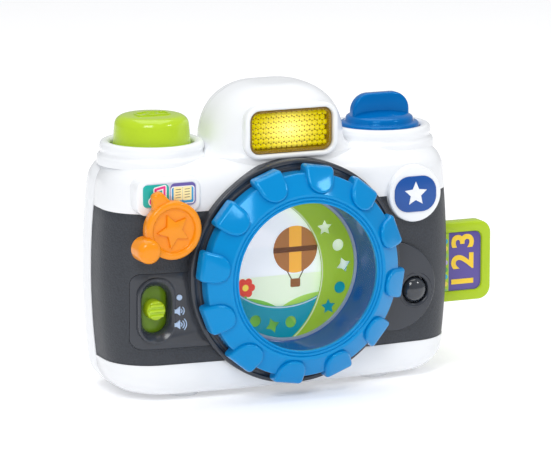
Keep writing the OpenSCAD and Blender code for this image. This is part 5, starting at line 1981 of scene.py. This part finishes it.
@dataclass
class SlideWork(Assembly):
    """The photo slide with its card, and the battery door."""

    in_x: float = 62.0
    out_x: float = 122.9
    height: float = 40.0
    corner: float = 6.5
    span: Span = (-11.5, -3.6)
    edge: Edge = Edge(0.9)
    well: Corner = (89.0, 117.9, 14.9)
    well_floor: float = -5.1
    well_r: Point = (1.5, 3.6)
    heel: Corner = (6.0, 42.8, 1.0)
    heel_span: Span = (-11.4, -3.7)
    heel_edge: Edge = Edge(0.5, 2)
    card: Profile = ((-17.6, -14.8, 0.8), (10.4, -14.8, 3.6), (10.4, 14.8, 3.6), (-17.6, 14.8, 0.8))
    card_span: Span = (-5.1, -4.55)
    card_edge: Edge = Edge(0.15, 2)
    text: str = "123"
    text_at: Point = (108.4, 4.5)
    text_size: float = 16.5
    text_bold: float = 0.45
    text_t: float = 0.12
    text_spacing: float = 1.25
    text_steps: int = 4
    text_turn: float = 90.0
    door: Corner = (50.2, 33.4, 2.8)
    door_span: Span = (32.0, 33.65)
    door_edge: Edge = Edge(0.4)
    door_hole: float = 3.2
    door_hole_z: float = 13.0
    rib: Corner = (14.0, 1.1, 0.5)
    rib_span: Span = (33.3, 34.0)
    rib_edge: Edge = Edge(0.3, 2)
    rib_count: int = 4
    rib_first: float = -11.5
    rib_pitch: float = 2.4

    def slide(self) -> Object:
        """The green tray with a stepped rim and the stop heel at its inner end.

        Returns:
            The slide in place.
        """
        long, mid = self.out_x - self.in_x, (self.out_x + self.in_x) / 2
        tray = Bench.pad("photo_slide", (long, self.height, self.corner), self.span)
        low, high, half = self.well
        inner, outer = self.well_r
        well = rounded([
            (low - mid, -half, inner), (high - mid, -half, outer), (high - mid, half, outer),
            (low - mid, half, inner),
        ])
        Bench.work(tray, Bench.prism("well", well, self.well_floor, self.span[1] + Bench.OVERRUN))
        Bench.soften(tray, self.edge)
        heel = Bench.pad("heel", self.heel, self.heel_span, self.heel_edge)
        Bench.join(tray, Bench.place(heel, (self.in_x + self.heel[0] / 2 - mid, 0, 0)))
        return Bench.front(tray, (mid, SPOT.card[1]))

    def numbers(self) -> Object:
        """Raised plain numbers on the card.

        Returns:
            The numbers in place.
        """
        Bench.pick()
        bpy.ops.object.text_add()
        text = bpy.context.object.data
        text.body = self.text
        text.align_x = text.align_y = "CENTER"
        text.size = self.text_size * MM
        text.offset = self.text_bold * MM
        text.extrude = self.text_t * MM
        text.space_character = self.text_spacing
        text.resolution_u = self.text_steps
        bpy.ops.object.convert(target="MESH")
        numbers = Bench.name(bpy.context.object, "card_numbers")
        return Bench.place(numbers, (*self.text_at, SPOT.card[1]), Facing.FRONT, self.text_turn)

    def battery_door(self) -> Object:
        """The battery door with grip ribs and its screw hole.

        Returns:
            The door in place.
        """
        door = Bench.pad("battery_door", self.door, self.door_span, self.door_edge)
        ribs = []
        for k in range(self.rib_count):
            rib = Bench.pad("rib", self.rib, self.rib_span, self.rib_edge)
            ribs.append(Bench.place(rib, (0, self.rib_first + self.rib_pitch * k, 0)))
        low, high = self.door_span
        circle = ring_points(self.door_hole, Sides.HOLE)
        hole = Bench.prism("hole", circle, low - Bench.OVERRUN, high + Bench.OVERRUN)
        Bench.work(door, Bench.place(hole, (0, self.door_hole_z, 0)))
        return Bench.place(Bench.join(door, *ribs), (0, 0, SPOT.door_z), Facing.BACK)

    def build(self) -> list[Piece]:
        """Models the slide, its card and the door.

        Returns:
            The slide, the card, its numbers and the door.
        """
        card = Bench.prism("slide_card", rounded(self.card), *self.card_span)
        Bench.front(Bench.soften(card, self.card_edge), SPOT.card)
        return [
            Piece(self.slide(), PAINT.lime, "photo_slide", Body.SLIDE),
            Piece(card, PAINT.card, "slide_card", Body.SLIDE),
            Piece(self.numbers(), PAINT.numbers, body=Body.SLIDE),
            Piece(self.battery_door(), PAINT.white, "battery_door", Body.DOOR),
        ]


@dataclass
class SpringWork(Assembly):
    """The two return springs of the buttons, modelled at rest; on the real camera they shorten as the buttons
    are pressed.
    """

    wire_r: float = 0.5
    steps: int = 20
    button_seat: Corner = (-SPOT.control_x, 0.0, 104.0)
    button_r: float = 7.0
    button_len: float = 27.4
    button_turns: int = 7
    button_stroke: float = 4.0
    dome_seat: Corner = (SPOT.dome[0], -17.6, SPOT.dome[1])
    dome_r: float = 5.5
    dome_len: float = 8.3
    dome_turns: int = 4
    dome_stroke: float = 1.8

    def coil(self, name: str, radius: float, length: float, turns: int) -> Object:
        """A coil that stands on its own z axis.

        Args:
            name: the piece's name.
            radius: radius of the wire's middle line.
            length: the spring's length at rest.
            turns: number of its turns.
        Returns:
            The coil about the origin.
        """
        count = self.steps * turns
        rise = (length - 2 * self.wire_r) / count
        path = [(*polar(radius, math.tau * i / self.steps), self.wire_r + rise * i) for i in range(count + 1)]
        Bench.pick(Bench.draw(name, path, False))
        bpy.ops.object.convert(target="CURVE")
        wire = bpy.context.object.data
        wire.bevel_depth = self.wire_r * MM
        wire.use_fill_caps = True
        bpy.ops.object.convert(target="MESH")
        return bpy.context.object

    def build(self) -> list[Piece]:
        """Models both springs at rest.

        Returns:
            The button's spring and the dome's.
        """
        button = self.coil("button_coil", self.button_r, self.button_len, self.button_turns)
        dome = self.coil("dome_coil", self.dome_r, self.dome_len, self.dome_turns)
        Bench.place(button, self.button_seat)
        Bench.place(dome, self.dome_seat, Facing.FRONT)
        return [Piece(button, PAINT.steel, "button_spring"), Piece(dome, PAINT.steel, "release_spring")]

    def dress(self, pieces: Sequence[Piece]) -> None:
        """Finishes the springs and gives each a mesh of its own.

        Args:
            pieces: the button's spring and the dome's.
        """
        super().dress(pieces)
        button, dome = (piece.obj for piece in pieces)
        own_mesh(button)
        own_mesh(dome)


@dataclass(frozen=True)
class InnerWork:
    """Finishes for the CAD nodes that stay as they are."""

    plain_rough: float = 0.45
    metal_rough: float = 0.35
    mottle: float = 0.12
    grain: float = 0.05

    def finish(self, entry: dict) -> Finish:
        """The finish for a material of the record.

        Args:
            entry: the material's entry.
        Returns:
            A finish in its colour.
        """
        kind, slot = entry["class"], entry["slot"]
        rough = self.metal_rough if kind in ("brushed_steel", "painted_metal") else self.plain_rough
        metallic = 1.0 if kind == "brushed_steel" else 0.0
        colour = tuple(entry["base_color"][:3])
        return Finish("inside_" + slot, slot, colour, rough, 0.0, self.mottle, self.grain, metallic)

    def dress(self) -> None:
        """Paints every CAD node that still shows, from its slot in the record."""
        looks = {entry["slot"]: entry for entry in frame["record"]["materials"]}
        slots = {part["node"]: part["material_slot"] for part in frame["record"]["subparts"]}
        for name, obj in frame["nodes"].items():
            if obj.hide_render:
                continue
            finish = self.finish(looks[slots[name]])
            obj.data.materials.clear()
            obj.data.materials.append(finish.build())
            LOG.info("%s: %s", name, finish.name)


@dataclass(frozen=True)
class Studio:
    """Pale floor, soft lights and the camera at the photo's angle. Lights and floor are in metres."""

    azimuth: float = -23.039
    elevation: float = 11.571
    distance: float = 1945.149
    target: Corner = (4.589, 0.0, 69.53)
    lens: float = 261.2
    sensor: float = 36.0
    clip_end: float = 20.0
    floor_size: float = 8.0
    paper: Finish = Finish(
        "floor_paper", "floor", srgb(250, 250, 251), 0.8, 0.0, 0.01, 0.0, specular=0.1, glow=0.21
    )
    lights: tuple[tuple[str, Corner, float, float], ...] = (
        ("key", (-1.3, -1.9, 2.1), 1.2, 34.0),
        ("fill", (1.5, -1.6, 1.7), 0.5, 8.0),
        ("top", (0.1, 0.2, 2.0), 1.8, 20.0),
    )
    sky: Colour = (0.98, 0.99, 1.0)
    sky_power: float = 0.42

    def floor(self) -> None:
        """A wide plain floor."""
        Bench.pick()
        bpy.ops.mesh.primitive_plane_add(size=self.floor_size)
        floor = bpy.context.object
        floor.name = "floor"
        floor.data.materials.append(self.paper.build())

    def light(self, name: str, at: Corner, size: float, power: float) -> None:
        """A square soft box that looks at the object.

        Args:
            name: the light's name.
            at: its place.
            size: length of its sides.
            power: its strength in watts.
        """
        Bench.pick()
        bpy.ops.object.light_add(type="AREA", location=Vector(at))
        lamp = bpy.context.object
        lamp.name = name
        lamp.data.size = size
        lamp.data.energy = power
        aim = Vector(self.target) * MM - Vector(at)
        lamp.rotation_euler = aim.to_track_quat("-Z", "Y").to_euler()

    def world(self) -> None:
        """An even pale sky."""
        world = bpy.data.worlds.new("studio")
        world.use_nodes = True
        sky = world.node_tree.nodes["Background"]
        sky.inputs[0].default_value = (*self.sky, 1.0)
        sky.inputs[1].default_value = self.sky_power
        bpy.context.scene.world = world

    def camera(self) -> None:
        """The camera at the photo's angle."""
        a, e = math.radians(self.azimuth), math.radians(self.elevation)
        back = Vector((math.sin(a) * math.cos(e), -math.cos(a) * math.cos(e), math.sin(e)))
        Bench.pick()
        bpy.ops.object.camera_add(location=(Vector(self.target) + back * self.distance) * MM)
        camera = bpy.context.object
        camera.rotation_euler = (-back).to_track_quat("-Z", "Y").to_euler()
        camera.data.lens = self.lens
        camera.data.sensor_width = self.sensor
        camera.data.clip_end = self.clip_end
        bpy.context.scene.camera = camera

    def build(self) -> None:
        """Sets the stage."""
        self.floor()
        for light in self.lights:
            self.light(*light)
        self.world()
        bpy.context.scene.view_settings.view_transform = "Standard"
        self.camera()


def main() -> None:
    """Builds the camera on its frame."""
    logging.basicConfig(level=logging.INFO, format="%(message)s")
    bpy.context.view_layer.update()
    form = BodyForm()
    grip = GripForm(form)
    case = CaseWork(form, HumpForm(), grip)
    groups = (
        case, GripWork(grip), TrimWork(), LensWork(), TopWork(), FrontWork(), SlideWork(), SpringWork(),
    )
    for group in groups:
        pieces = group.build()
        group.dress(pieces)
        for piece in pieces:
            LOG.info("%s: %s on %s", piece.obj.name, piece.finish.name, piece.body.value)
    InnerWork().dress()
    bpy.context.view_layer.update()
    Studio().build()


if __name__ == "__main__":
    main()
